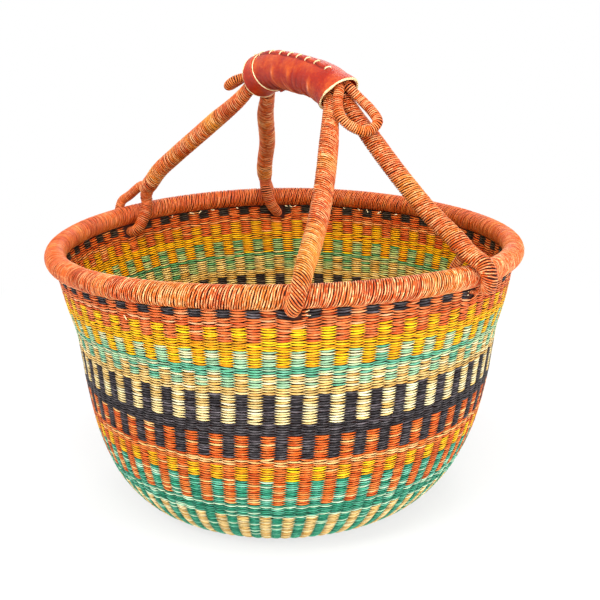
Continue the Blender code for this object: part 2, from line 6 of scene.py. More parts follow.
import bpy
import numpy as np
from mathutils import Matrix, Vector


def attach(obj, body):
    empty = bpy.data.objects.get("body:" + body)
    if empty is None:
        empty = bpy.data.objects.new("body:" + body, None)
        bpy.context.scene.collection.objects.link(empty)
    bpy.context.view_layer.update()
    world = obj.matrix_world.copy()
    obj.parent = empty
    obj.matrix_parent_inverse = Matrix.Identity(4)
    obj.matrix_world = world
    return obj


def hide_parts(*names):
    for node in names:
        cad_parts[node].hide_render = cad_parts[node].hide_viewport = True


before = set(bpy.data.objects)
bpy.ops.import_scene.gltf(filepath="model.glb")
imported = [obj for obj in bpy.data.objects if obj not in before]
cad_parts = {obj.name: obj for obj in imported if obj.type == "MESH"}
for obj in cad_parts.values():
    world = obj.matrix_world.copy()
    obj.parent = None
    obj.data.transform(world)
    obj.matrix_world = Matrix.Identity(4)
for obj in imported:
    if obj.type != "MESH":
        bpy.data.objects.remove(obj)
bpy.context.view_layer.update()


class Wire:                                   # a socket that can be written in sums
    def __init__(self, bench, socket):
        self.bench = bench
        self.socket = socket

    def beside(self, name):                   # another output of the same node
        return Wire(self.bench, self.socket.node.outputs[name])

    def __add__(self, other):
        return self.bench.maths("ADD", self, other)

    __radd__ = __add__

    def __sub__(self, other):
        return self.bench.maths("SUBTRACT", self, other)

    def __rsub__(self, other):
        return self.bench.maths("SUBTRACT", other, self)

    def __mul__(self, other):
        return self.bench.maths("MULTIPLY", self, other)

    __rmul__ = __mul__

    def __truediv__(self, other):
        return self.bench.maths("DIVIDE", self, other)

    def __pow__(self, other):
        return self.bench.maths("POWER", self, other)


class Bench:                                  # one node tree, and the ways to put nodes in it
    def __init__(self, tree):
        self.tree = tree

    def feed(self, node, sockets):
        for key, value in sockets.items():
            for one in value if isinstance(value, list) else [value]:
                if isinstance(one, Wire):
                    self.tree.links.new(one.socket, node.inputs[key])
                else:
                    node.inputs[key].default_value = one

    def put(self, kind, settings=None, sockets=None, output=0):
        node = self.tree.nodes.new(kind)
        for key, value in (settings or {}).items():
            if key == "stops":
                self.setStops(node.color_ramp.elements, value)
            else:
                setattr(node, key, value)
        self.feed(node, sockets or {})
        return Wire(self, node.outputs[output]) if node.outputs else node

    def setStops(self, elements, stops):
        while len(elements) < len(stops):
            elements.new(0.5)
        for element, (place, *colour) in zip(elements, stops):
            element.position = place
            element.color = (*linear(*colour), 1.0)

    def maths(self, operation, *values):
        return self.put("ShaderNodeMath", {"operation": operation}, dict(enumerate(values)))

    def vector(self, operation, *values):
        return self.put("ShaderNodeVectorMath", {"operation": operation}, dict(enumerate(values)))

    def scaled(self, vector, factor):
        return self.put("ShaderNodeVectorMath", {"operation": "SCALE"}, {"Vector": vector, "Scale": factor})

    def joined(self, x, y, z):
        return self.put("ShaderNodeCombineXYZ", None, {"X": x, "Y": y, "Z": z})

    def mixed(self, factor, first, second, blend="MIX"):
        return self.put("ShaderNodeMix", {"data_type": "RGBA", "blend_type": blend},
                        {0: factor, 6: first, 7: second}, 2)

    def ranged(self, value, low, high, first, last):
        return self.put("ShaderNodeMapRange", {"clamp": True}, {
            "Value": value, "From Min": low, "From Max": high, "To Min": first, "To Max": last})

    def attribute(self, name, output="Fac"):
        return self.put("ShaderNodeAttribute", {"attribute_name": name}, None, output)

    def place(self):
        return self.put("ShaderNodeTexCoord", None, None, "Object")

    def noise(self, place, scale, detail, **more):
        return self.put("ShaderNodeTexNoise", None, {"Vector": place, "Scale": scale, "Detail": detail, **more})

    def fibres(self, x, y, z):
        return self.noise(self.joined(x, y, z), 1.0, 3.0, Roughness=0.6)

    def flatNoise(self, x, y, detail):
        return self.put("ShaderNodeTexNoise", {"noise_dimensions": "2D"}, {
            "Vector": self.joined(x, y, 0.0), "Scale": 1.0, "Detail": detail})

    def chance(self, number):                 # one random value for each whole number
        return self.put("ShaderNodeTexWhiteNoise", {"noise_dimensions": "1D"}, {"W": number}, "Value")

    def ramp(self, factor, *stops):           # each stop is a place and a screen colour
        return self.put("ShaderNodeValToRGB", {"stops": stops}, {"Fac": factor})

    def bump(self, strength, distance, height):
        return self.put("ShaderNodeBump", None, {"Strength": strength, "Distance": distance, "Height": height})

    def dress(self, **sockets):               # Base_Color=wire and the like, on the shader
        self.feed(self.shader, {name.replace("_", " "): value for name, value in sockets.items()})

    def shape(self, kind, output=0, **sockets):   # a geometry node, Profile_Curve=wire and the like
        sockets = {name.replace("_", " "): value for name, value in sockets.items()}
        return self.put("GeometryNode" + kind, sockets.pop("settings", None), sockets, output)

    def stored(self, geometry, name, value, kind="FLOAT", domain="POINT"):
        return self.shape("StoreNamedAttribute", settings={"data_type": kind, "domain": domain},
                          Geometry=geometry, Name=name, Value=value)

    def named(self, name, kind="FLOAT"):
        return self.shape("InputNamedAttribute", settings={"data_type": kind}, Name=name)


def linear(red, green, blue):                 # 0-255 screen values to scene values
    return tuple((v / 255) ** 2.2 for v in (red, green, blue))


def newFinish(name):
    made = bpy.data.materials.new(name)
    made.use_nodes = True
    made.node_tree.nodes.clear()
    bench = Bench(made.node_tree)
    shader = bench.put("ShaderNodeBsdfPrincipled")
    bench.shader = shader.socket.node
    bench.end = bench.put("ShaderNodeOutputMaterial", None, {"Surface": shader})
    return made, bench


def makeTwinedStraw():
    # Colour comes with each stitch; fibres run along it, and its edges and tips are painted darker as shade
    made, bench = newFinish("twined straw")
    tone = bench.attribute("strawTone", "Color")
    lengthwise, round_, seed = (bench.attribute("straw" + name) for name in ("Along", "Round", "Seed"))
    fibre = bench.fibres(lengthwise * 1.8, round_ * 10.0, seed * 57.0)
    light = bench.ranged(fibre, 0.3, 0.7, 0.74, 1.20)
    edge = bench.maths("COSINE", round_ * math.tau)
    edgeShade = bench.ranged(bench.maths("ABSOLUTE", edge), 0.40, 0.92, 1.0, 0.20)
    tipShade = bench.ranged(bench.maths("ABSOLUTE", lengthwise), 0.28, 0.45, 1.0, 0.26)
    grey = light * edgeShade * tipShade
    colour = bench.mixed(1.0, tone, bench.joined(grey, grey, grey), "MULTIPLY")
    # Painted highlight: here and there the upper middle of each stitch is mixed towards a paler tone
    streak = bench.noise(bench.joined(lengthwise * 2.6, seed * 91.0, 3.0), 1.0, 1.0)
    crest = bench.ranged(bench.maths("ABSOLUTE", edge - 0.12), 0.10, 0.45, 1.0, 0.0)
    paintedHighlight = bench.ranged(streak, 0.42, 0.62, 0.0, 0.68) * crest
    highlightTone = bench.put("ShaderNodeGamma", None, {"Color": tone, "Gamma": 0.55})
    bench.dress(Base_Color=bench.mixed(paintedHighlight, colour, highlightTone), Roughness=0.50 + fibre * 0.12,
                Normal=bench.bump(0.35, 0.0004, fibre), Specular_IOR_Level=0.15)
    return made


def makeWoundStraw():
    # One straw after another is wound on, so the colour changes after some turns
    made, bench = newFinish("wound straw")
    turn, along, round_, golden, crest, mixed, highlightStrength = (
        bench.attribute("wound" + name) for name in ("Turn", "Along", "Round", "Gold", "Crest", "Mixed", "Pale"))
    run = bench.chance(bench.maths("FLOOR", turn * 0.31))
    single = bench.chance(bench.maths("FLOOR", turn) + 0.37)
    drift = bench.put("ShaderNodeTexNoise", {"noise_dimensions": "1D"}, {
        "W": along * 42.0, "Scale": 1.0, "Detail": 2.0})
    mixPlace = (run - 0.5) * 0.22 + (single - 0.5) * 0.50 * mixed + (drift - 0.5) * 0.60 + 0.45
    colour = bench.ramp(mixPlace, (0.0, 178, 60, 18), (0.30, 208, 84, 28), (0.55, 224, 106, 42),
                        (0.78, 236, 138, 62), (1.0, 248, 178, 104))
    warm = bench.mixed(golden * 0.75, colour, (*linear(240, 158, 52), 1.0))
    fibre = bench.fibres(turn * 3.0, round_ * 7.0, along * 30.0)
    # Painted highlight: short pale dashes along the crest of each straw
    dash = bench.flatNoise(turn * 1.3, single * 40.0 * mixed, 1.0)
    highlightDashes = bench.ranged(dash, 0.38, 0.58, 0.0, 0.90) * bench.ranged(crest, 0.84, 0.99, 0.0, 1.0) * highlightStrength
    pale = bench.mixed(highlightDashes, warm, (*linear(255, 218, 160), 1.0))
    # Painted shade: each straw darker on its flanks, where it turns down between the straws
    grey = bench.ranged(fibre, 0.3, 0.7, 0.80, 1.18) * bench.ranged(crest, 0.60, 0.96, 0.06, 1.06)
    # The painted shade is redder down between the straws
    warmth = bench.ranged(crest, 0.60, 0.97, 0.0, 1.0)
    shade = bench.joined(grey, grey * (warmth * 0.24 + 0.72), grey * (warmth * 0.46 + 0.44))
    bench.dress(Base_Color=bench.mixed(1.0, pale, shade, "MULTIPLY"), Roughness=0.40 + fibre * 0.14,
                Normal=bench.bump(0.35, 0.0004, fibre), Specular_IOR_Level=0.28)
    return made


def makeLeather(name, deep, plain, paleAndHighlight):
    # Grained hide: pores, soft wrinkles and patchy tone; painted shade darkens the creases, and painted highlights
    # lighten raised folds and pale streaks
    made, bench = newFinish(name)
    place = bench.place()
    crease = bench.attribute("leatherCrease")
    cloud = bench.noise(place, 60.0, 3.0)
    pores = bench.put("ShaderNodeTexVoronoi", None, {"Vector": place, "Scale": 1500.0}, "Distance")
    wrinkle = bench.noise(place, 380.0, 5.0, Distortion=0.6)
    # The last stop is the colour of the painted highlight
    colour = bench.ramp(cloud * 0.7 + wrinkle * 0.3 - crease * 0.55,
                        (0.12, *deep), (0.46, *plain), (0.74, *paleAndHighlight), (1.0, 244, 156, 118))
    bump = bench.bump(0.45, 0.0005, wrinkle * 0.7 + pores * 0.5 - crease * 0.5)
    bench.dress(Base_Color=colour, Roughness=0.40 + wrinkle * 0.16 + crease * 0.12, Normal=bump,
                Specular_IOR_Level=0.30)
    return made


def makeGrained(name, scale, detail, roughness, stops, bump=None):
    made, bench = newFinish(name)
    grain = bench.noise(bench.place(), scale, detail)
    bench.dress(Base_Color=bench.ramp(grain, *stops), Roughness=roughness)
    if bump:
        bench.dress(Normal=bench.bump(*bump, grain))
    return made


twinedStraw = makeTwinedStraw()
woundStraw = makeWoundStraw()
# A dark painted shade that shows between the straws, and the bundles of grass
shadeSheet = makeGrained("straw heart", 260.0, 3.0, 0.9, ((0.3, 38, 13, 8), (0.7, 78, 32, 16)))
bundledGrass = makeGrained("bundled grass", 420.0, 4.0, 0.85,
                           ((0.3, 120, 74, 34), (0.55, 186, 134, 74), (0.75, 222, 178, 112)), (0.6, 0.0006))
gripLeather = makeLeather("grip leather", (104, 18, 6), (162, 37, 9), (206, 90, 36))
collarLeather = makeLeather("collar leather", (104, 20, 8), (170, 44, 18), (212, 84, 44))
# Pale split straw: raw edges, lacing, loose ends
rawStraw = makeGrained("raw straw", 700.0, 3.0, 0.7, ((0.3, 222, 184, 116), (0.7, 255, 242, 196)),
                       (0.5, 0.0003))
yellowStraw = makeGrained("yellow straw", 700.0, 3.0, 0.6, ((0.3, 226, 140, 0), (0.7, 252, 192, 0)),
                          (0.5, 0.0003))
print("materials made")


basket = {
    "rimX": 0.1885, "rimY": 0.1783, "rimTurn": math.radians(-3.5), "rimHeight": 0.2165,
    "rimTube": 0.0087, "waveAcross": 0.0029, "waveSkewed": 0.0011,
    "wallThickness": 0.0040, "wallOutside": 0.0010, "coreRadius": 0.0068, "gap": 0.0003,
    "ribTwist": math.radians(2.6), "baseLean": 0.0047, "wallSway": 0.0016,
    "profile": ((0.460, 0.000), (0.546, 0.005), (0.612, 0.015), (0.657, 0.032), (0.703, 0.063),
                (0.753, 0.113), (0.806, 0.190), (0.863, 0.324), (0.902, 0.495), (0.922, 0.640),
                (0.937, 0.740), (0.969, 0.852), (1.000, 1.000)),
}
wallHeight = basket["rimHeight"] - basket["coreRadius"] - basket["gap"]


def smoothThrough(points, steps):
    # Catmull-Rom curve through the points
    knots = [np.array(p, float) for p in points]
    knots = [2 * knots[0] - knots[1]] + knots + [2 * knots[-1] - knots[-2]]
    curve = []
    for i in range(1, len(knots) - 2):
        a, b, c, d = knots[i - 1:i + 3]
        for k in range(steps):
            u = k / steps
            curve.append(0.5 * (2 * b + (c - a) * u + (2 * a - 5 * b + 4 * c - d) * u ** 2
                                + (3 * b - a - 3 * c + d) * u ** 3))
    curve.append(knots[-2])
    return np.array(curve)


profileLine = smoothThrough(basket["profile"], 12)


def ovalShare(bearing):
    turned = bearing - basket["rimTurn"]
    return 1.0 / np.hypot(np.sin(turned), basket["rimX"] / basket["rimY"] * np.cos(turned))


def waveHeight(bearing):
    turned = bearing - basket["rimTurn"]
    return basket["waveAcross"] * np.cos(2 * turned) + basket["waveSkewed"] * np.sin(2 * turned)


def headings(bearing):
    return np.stack([np.sin(bearing), -np.cos(bearing), np.zeros_like(bearing)], -1)


def rimPoints(bearing):
    bearing = np.asarray(bearing, float)
    points = headings(bearing) * (basket["rimX"] * ovalShare(bearing))[..., None]
    points[..., 2] += basket["rimHeight"] + waveHeight(bearing)
    return points


def wallPoints(bearing, share):
    # Outer face; below share 0 the base goes on flat towards its middle
    bearing, share = np.broadcast_arrays(np.asarray(bearing, float), np.asarray(share, float))
    up = np.clip(share, 0.0, 1.0)
    radius = np.interp(up, profileLine[:, 1], profileLine[:, 0]) * basket["rimX"]
    radius = np.where(share < 0.0, radius * (1.0 + share), radius)
    reach = radius * (1.0 + up * (ovalShare(bearing) - 1.0)) + basket["wallOutside"] * up
    points = headings(bearing - basket["ribTwist"] * (1.0 - up)) * reach[..., None]
    points[..., 0] += 4 * basket["wallSway"] * up * (1.0 - up) - basket["baseLean"] * (1.0 - up) ** 2
    points[..., 2] += up * wallHeight + waveHeight(bearing) * up ** 2
    return points


def wallFrames(bearing, share):
    # Place, way along the row and way out of the wall
    here = wallPoints(bearing, share)
    across = wallPoints(bearing + 0.002, share) - wallPoints(bearing - 0.002, share)
    rise = wallPoints(bearing, np.minimum(share + 0.004, 1.0)) - wallPoints(bearing, share - 0.004)
    across /= np.linalg.norm(across, axis=-1, keepdims=True)
    out = np.cross(across, rise)
    out /= np.linalg.norm(out, axis=-1, keepdims=True)
    return here, across, out


def walked(line):                             # length of each step of a line, and walked up to each point
    steps = np.linalg.norm(np.diff(line, axis=0), axis=1)
    return steps, np.concatenate([[0.0], np.cumsum(steps)])


# Shares of the wall by the length walked up it, starting in the middle of the base
walkShares = np.concatenate([np.linspace(-1.0, 0.0, 60)[:-1], np.linspace(0.0, 1.0, 400)])
walkLengths = walked(wallPoints(np.zeros_like(walkShares), walkShares))[1]
# Bearings by the length walked round the rim
roundBearings = np.linspace(-math.pi, math.pi, 721) + basket["rimTurn"]
roundLengths = walked(rimPoints(roundBearings))[1]


def bearingAt(share):                         # share of the way round, from the back
    return np.interp(np.mod(share, 1.0) * roundLengths[-1], roundLengths, roundBearings)


def shareAt(length):
    return np.interp(length, walkLengths, walkShares)


def newTree(name, inputs):
    tree = bpy.data.node_groups.new(name, "GeometryNodeTree")
    tree.interface.new_socket(name="Geometry", in_out="INPUT", socket_type="NodeSocketGeometry")
    for label, value in inputs.items():
        kind = {float: "NodeSocketFloat", int: "NodeSocketInt"}.get(type(value), "NodeSocketMaterial")
        item = tree.interface.new_socket(name=label, in_out="INPUT", socket_type=kind)
        if value is not None:
            item.default_value = value
    tree.interface.new_socket(name="Geometry", in_out="OUTPUT", socket_type="NodeSocketGeometry")
    bench = Bench(tree)
    entry = tree.nodes.new("NodeGroupInput")
    return tree, bench, {output.name: Wire(bench, output) for output in entry.outputs if output.name}


def addPiece(name, mesh, body):
    piece = bpy.data.objects.new(name, mesh)
    bpy.context.scene.collection.objects.link(piece)
    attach(piece, body)
    return piece


def grow(name, guide, tree, settings, body):
    # Runs a tree on a guide mesh and keeps the plain mesh that comes out
    seedling = bpy.data.objects.new(name + "Guide", guide)
    bpy.context.scene.collection.objects.link(seedling)
    modifier = seedling.modifiers.new("grow", "NODES")
    modifier.node_group = tree
    identifiers = {item.name: item.identifier for item in tree.interface.items_tree if item.in_out == "INPUT"}
    for label, value in settings.items():
        modifier[identifiers[label]] = value
    depsgraph = bpy.context.evaluated_depsgraph_get()
    mesh = bpy.data.meshes.new_from_object(
        seedling.evaluated_get(depsgraph), preserve_all_data_layers=True, depsgraph=depsgraph)
    seedling.modifiers.remove(modifier)
    bpy.data.objects.remove(seedling)
    mesh.name = name
    print(name, len(mesh.polygons), "faces")
    return addPiece(name, mesh, body)


def addAttributes(mesh, **columns):           # a number, a vector or a colour for each point
    for name, values in columns.items():
        values = np.asarray(values, np.float32)
        kind, key = {1: ("FLOAT", "value"), 3: ("FLOAT_VECTOR", "vector"), 4: ("FLOAT_COLOR", "color")}[
            values.size // len(mesh.vertices)]
        mesh.attributes.new(name, kind, "POINT").data.foreach_set(key, values.ravel())


def newMesh(name, points, edges=(), faces=()):
    mesh = bpy.data.meshes.new(name)
    mesh.from_pydata([tuple(p) for p in points], list(edges), list(faces))
    return mesh


def solidPiece(name, points, faces, finishes, body):
    mesh = newMesh(name, points, (), faces)
    mesh.shade_smooth()
    for finish in finishes:
        mesh.materials.append(finish)
    return addPiece(name, mesh, body)


def ringFaces(rings, sides, closed=True):
    # Quads between rings of points that lie one after another
    quads = []
    for i in range(rings if closed else rings - 1):
        here, there = i * sides, (i + 1) % rings * sides
        for k in range(sides):
            m = (k + 1) % sides
            quads.append((here + k, here + m, there + m, there + k))
    return quads


def makeStitchTree():
    # One lens-shaped stitch on each guide point, bent over its rib
    tree, bench, given = newTree("twine stitches", {
        "Height": 0.0011, "Thickness": 0.0008, "Rib Drop": 0.0013, "Smile": 0.0004, "Reach": 1.45,
        "Point": 1.4, "Pieces Along": 6, "Sides": 6, "Straw": None})
    sheet = bench.shape("MeshGrid", Size_X=1.0, Size_Y=1.0, Vertices_X=given["Pieces Along"],
                        Vertices_Y=given["Sides"])
    position = bench.put("ShaderNodeSeparateXYZ", None, {"Vector": bench.shape("InputPosition")})
    x, y = position.beside("X"), position.beside("Y")
    away = bench.maths("ABSOLUTE", x) * 2.0
    turn = y * math.tau
    thin = bench.maths("MAXIMUM", 1.0 - away ** given["Point"], 0.0)
    height = given["Smile"] * away ** 2.0 + given["Height"] * thin * bench.maths("COSINE", turn)
    depth = given["Thickness"] * thin * bench.maths("SINE", turn) - given["Rib Drop"] * away ** 2.0
    sheet = bench.stored(bench.stored(sheet, "strawAlong", x), "strawRound", y)
    bent = bench.shape("SetPosition", Geometry=sheet, Position=bench.joined(x * given["Reach"], height, depth))
    closed = bench.shape("MergeByDistance", Geometry=bent, Distance=0.000002)
    smooth = bench.shape("SetShadeSmooth", Geometry=closed)
    out, across = (bench.named(name, "FLOAT_VECTOR") for name in ("outward", "across"))
    turned = bench.put("FunctionNodeAxesToRotation", {"primary_axis": "Z", "secondary_axis": "X"}, {
        "Primary Axis": out, "Secondary Axis": across})
    plump = bench.named("plump")
    placed = bench.shape("InstanceOnPoints", Points=given["Geometry"], Instance=smooth, Rotation=turned,
                         Scale=bench.joined(bench.named("span"), plump, plump))
    real = bench.shape("RealizeInstances", Geometry=placed)
    bench.put("NodeGroupOutput", None, {0: bench.shape("SetMaterial", Geometry=real, Material=given["Straw"])})
    return tree


def makeWindTree():
    # Straw wound round a path: the path's "thick" is its radius; a dark bed tube lies below as painted shade between
    # the straws
    tree, bench, given = newTree("wind straw", {
        "Straw Width": 0.0018, "Straw Thickness": 0.0009, "Starts": 3, "Points": 4000, "Hand": -1.0,
        "Sway": 0.35, "Sway Length": 60.0, "Waver": 0.5, "Waver Pace": 3.5, "Seed": 0.0, "Sides": 5,
        "Loose": 0.00025, "Straw": None, "Shade Bed": None})
    width, thickness = given["Straw Width"], given["Straw Thickness"]
    starts, seed = given["Starts"], given["Seed"]
    path = bench.shape("MeshToCurve", Mesh=given["Geometry"])
    thick = bench.named("thick")
    copies = bench.shape("DuplicateElements", settings={"domain": "SPLINE"}, Geometry=path, Amount=starts)
    tagged = bench.stored(copies, "startNumber", copies.beside("Duplicate Index"), domain="CURVE")
    fine = bench.shape("ResampleCurve", Curve=tagged, Count=given["Points"])
    startNumber = bench.named("startNumber")
    length = bench.shape("SplineParameter", "Length")
    swing = bench.flatNoise(length * given["Sway Length"], seed, 2.0)
    turns = length / (width * starts) + startNumber / starts
    turn = turns + (swing - 0.5) * given["Sway"]
    angle = turn * given["Hand"] * math.tau
    normal = bench.shape("InputNormal")
    tangent = bench.shape("InputTangent")
    side = bench.vector("CROSS_PRODUCT", tangent, normal)
    loose = bench.flatNoise(turn * 2.2, startNumber + seed, 1.0)
    radius = thick - thickness + (loose - 0.5) * 2.0 * given["Loose"]
    shift = bench.vector("ADD", bench.scaled(normal, bench.maths("COSINE", angle) * radius),
                         bench.scaled(side, bench.maths("SINE", angle) * radius))
    stagger = bench.flatNoise(turn * given["Waver Pace"], turns * 0.37 + startNumber * 5.0 + seed + 9.0, 1.0)
    shift = bench.vector("ADD", shift, bench.scaled(tangent, (stagger - 0.5) * 2.0 * width * given["Waver"]))
    fine = bench.stored(fine, "woundCore", bench.shape("InputPosition"), "FLOAT_VECTOR")
    for name, value in (("woundThick", thick), ("woundTurn", turn * starts + startNumber * 17.0),
                        ("woundAlong", length + seed)):
        fine = bench.stored(fine, name, value)
    wound = bench.shape("SetPosition", Geometry=fine, Offset=shift)
    ring = bench.shape("CurvePrimitiveCircle", Resolution=given["Sides"], Radius=thickness)
    ring = bench.stored(ring, "woundRound", bench.shape("SplineParameter", "Factor"))
    straw = bench.shape("CurveToMesh", Curve=wound, Profile_Curve=ring, Fill_Caps=True)
    # How far out a point of the straw lies: 0 on the bed, 1 on the crest
    reach = bench.vector("DISTANCE", bench.shape("InputPosition"), bench.named("woundCore", "FLOAT_VECTOR"))
    crest = (reach.beside("Value") - bench.named("woundThick")) / (thickness * 2.0) + 1.0
    straw = bench.stored(straw, "woundCrest", crest)
    straw = bench.shape("SetMaterial", Geometry=straw, Material=given["Straw"])
    shadeBedRing = bench.shape("CurvePrimitiveCircle", Resolution=10, Radius=1.0)
    shadeBed = bench.shape("CurveToMesh", Curve=path, Profile_Curve=shadeBedRing, Fill_Caps=True,
                      Scale=thick - thickness * 1.35)
    shadeBed = bench.shape("SetMaterial", Geometry=shadeBed, Material=given["Shade Bed"])
    smooth = bench.shape("SetShadeSmooth", Geometry=bench.shape("JoinGeometry", Geometry=[straw, shadeBed]))
    bench.put("NodeGroupOutput", None, {0: bench.shape("RealizeInstances", Geometry=smooth)})
    return tree


stitchTree = makeStitchTree()
windTree = makeWindTree()


# Four colours of straw in each dyed bundle, the first ones the more common
tones = {name: np.array([linear(*colour) for colour in colours]) for name, colours in {
    "rust": ((220, 98, 44), (230, 118, 60), (204, 80, 32), (246, 160, 104)),
    "orange": ((220, 94, 30), (206, 80, 24), (236, 120, 48), (248, 178, 104)),
    "yellow": ((252, 184, 0), (247, 168, 0), (254, 196, 0), (238, 150, 0)),
    "black": ((50, 45, 47), (60, 55, 57), (42, 38, 41), (78, 70, 74)),
    "mint": ((150, 194, 148), (90, 168, 130), (180, 208, 154), (220, 216, 160)),
    "green": ((56, 152, 116), (36, 130, 98), (96, 184, 150), (184, 224, 184)),
    "natural": ((236, 200, 128), (226, 182, 102), (248, 224, 164), (212, 160, 80)),
    "cream": ((240, 212, 144), (248, 230, 176), (228, 188, 112), (212, 168, 88)),
}.items()}
# Top and bottom of each zone as shares of the wall, colour of the even ribs, of the odd ones
zones = (
    (1.01, 0.958, "black", "rust"), (0.958, 0.926, "rust", "rust"), (0.926, 0.873, "rust", "yellow"),
    (0.873, 0.842, "yellow", "yellow"), (0.842, 0.781, "yellow", "mint"), (0.781, 0.760, "mint", "mint"),
    (0.760, 0.703, "mint", "natural"), (0.703, 0.681, "natural", "natural"), (0.681, 0.569, "cream", "black"),
    (0.569, 0.529, "black", "black"), (0.529, 0.439, "black", "orange"), (0.439, 0.403, "orange", "orange"),
    (0.403, 0.351, "orange", "yellow"), (0.351, 0.238, "orange", "green"), (0.238, 0.185, "green", "green"),
    (0.185, -0.30, "green", "natural"), (-0.30, -0.42, "natural", "natural"), (-0.42, -0.60, "green", "natural"),
    (-0.60, -1.01, "natural", "natural"),
)
bands = {
    "woven_base": (-1.0, 0.065, "natural_straw"), "weave_green": (0.065, 0.245, "green_straw"),
    "weave_orange": (0.245, 0.443, "orange_straw"), "weave_black": (0.443, 0.689, "black_straw"),
    "weave_mint": (0.689, 0.779, "mint_straw"), "weave_yellow": (0.779, 0.923, "yellow_straw"),
    "weave_rust": (0.923, 1.001, "rust_straw"),
}
weave = {
    "stakes": 110, "rowPitch": 0.00205, "firstRib": 0.3446, "strawThickness": 0.00080, "strawHeight": 0.00118,
    "ribDrop": 0.00055, "smile": 0.00055, "reach": 1.50, "toneSpread": 0.09, "seed": 20,
    "uneven": 0.00010, "slant": 0.045, "plump": 0.07,
    "innerPaintedLight": (1.26, 0.98, 0.46),          # painted light: the inside is made warmer and brighter, for light bounced round it
    # Round the middle of the base there are fewer stakes
    "stakeSteps": ((0.085, 110), (0.045, 55), (0.022, 28), (0.0, 14)),
    # Stitches pushed down by the feet of the handle: how far, how wide and how deep, and what is near
    "footPush": 0.0026, "footWidth": 0.0075, "footDepth": 0.008, "footNear": 0.030, "footSlack": 0.0006,
    "leastLeft": 0.30,                        # a shorter rest of a stitch is left out
    # One straw runs past some stakes: how many runs in a row, how its four tones are shared, stray stitches
    "breaks": 7, "toneShares": (0.40, 0.28, 0.20, 0.12), "runSpread": 0.06, "strays": 0.18,
    "shadeSheetDepths": (0.0019, 0.0023), "shadeSheetRings": 46, "shadeSheetSides": 220,
}
feet = {"front": math.radians(4.5), "right": math.radians(46.0), "left": math.radians(-129.5),
        "back": math.radians(-175.0)}
# Where each foot's strand goes through the wall: way to one side, way below the rim's middle, half width
footHoles = {"front": (0.0070, 0.0132, 0.0026), "right": (-0.0066, 0.0132, 0.0026),
             "left": (-0.0070, 0.0152, 0.0052), "back": (0.0090, 0.0152, 0.0052)}


grip = {
    "half": 0.0555, "bearing": math.radians(31.7), "x": 0.0133, "y": -0.0143, "above": 0.1345,
    "rise": 0.0037, "tilt": 0.0034, "droop": 0.0046, "core": 0.0128, "leather": 0.0019,
    "collar": 0.0012, "collarLength": 0.0130, "mouthDepth": 0.0070,
    "swell": ((-1.0, 0.05), (-0.87, 0.0), (-0.30, 0.0), (0.40, -0.06), (0.87, 0.02), (1.0, 0.13)),
}
leg = {
    "radius": 0.0075, "neck": 0.0054, "strand": 0.0044, "innerStrand": 0.0056,
    "nearThin": 0.0017, "nearInner": 0.0040, "ear": 0.0038, "earWound": 0.0002, "play": 0.0018,
    # Up the leg: share of the way in, of the way up, and sideways
    "up": {
        "front": ((0.09, 0.240, 0), (0.29, 0.365, 0), (0.44, 0.475, 0), (0.60, 0.610, 0), (0.75, 0.745, 0),
                  (0.89, 0.875, 0)),
        "right": ((0.09, 0.212, 0), (0.29, 0.347, 0), (0.44, 0.467, 0), (0.60, 0.606, 0), (0.75, 0.745, 0),
                  (0.89, 0.875, 0)),
        "left": ((0.175, 0.252, 0), (0.25, 0.345, 0), (0.385, 0.462, 0), (0.54, 0.590, 0), (0.705, 0.726, 0),
                 (0.865, 0.856, 0)),
        "back": ((0.16, 0.260, -0.023), (0.23, 0.355, -0.016), (0.37, 0.475, -0.006), (0.53, 0.600, -0.011),
                 (0.70, 0.730, -0.020), (0.86, 0.855, -0.010))},
    "bow": {"front": -0.030, "right": 0.006, "left": 0.0, "back": 0.0},
    # Round the rim: inward, up and sideways, as shares of the reach from the rim's middle
    "start": {
        "front": ((-0.500, -0.620, 0.38), (-0.950, -0.280, 0.34), (-1.000, 0.240, 0.17), (-0.720, 0.820, 0.02),
                  (-0.180, 1.250, 0.00)),
        "right": ((-0.500, -0.620, -0.36), (-0.900, -0.320, -0.20), (-1.000, 0.240, -0.02),
                  (-0.740, 0.690, 0.02), (-0.060, 1.060, 0.02)),
        "left": ((1.82, 2.72, 0.20), ), "back": ((1.20, 2.25, -0.25), )},
    # The near legs are bound small and close at the tip, then widen
    "nearTip": (0.28, 0.34, 0.43, 0.54, 0.65, 0.74), "taper": (0.80, 0.84, 0.85, 0.86, 0.88, 0.90, 0.93, 0.97),
    "nearLoop": ((-0.27, -0.985, 1.0), (0.06, -1.01, 1.0), (0.60, -0.86, 1.0), (1.02, -0.34, 0.95),
                 (1.10, 0.30, 0.85)),
    "nearAside": {"front": 0.56, "right": -0.52},
    "jointTurn": {"front": math.radians(18.0), "right": math.radians(-50.0)},
    # The far legs fork, and a strand goes round the rim from one prong to the other
    "prong": 0.62, "farTip": 0.45, "farTaper": 0.84, "farTipLong": 0.0035, "strandHidden": 0.006,
    "strandAside": (0.22, -0.14),
    "farLoop": {
        "left": ((-0.18, 1.30, 0.00), (-0.86, 0.84, -0.05), (-1.06, 0.04, -0.20), (-0.92, -0.74, -0.40),
                 (-0.12, -1.14, -0.52), (0.72, -0.94, -0.45), (1.09, -0.24, -0.14), (1.13, 0.46, 0.16),
                 (1.15, 0.95, 0.32)),
        "back": ((-0.18, 1.26, -0.10), (-0.86, 0.84, 0.00), (-1.06, 0.04, 0.25), (-0.92, -0.74, 0.50),
                 (-0.12, -1.14, 0.67), (0.72, -0.94, 0.60), (1.09, -0.24, 0.20), (1.13, 0.56, -0.06))},
}
coreEnd = 1.0 - grip["mouthDepth"] / grip["half"]
clear = basket["rimTube"] + basket["gap"]
legSide = leg["neck"] + 1.5 * basket["gap"]
legDrop = 0.25 * grip["core"]
fineSteps = 6                                 # steps between the points that shape a cord


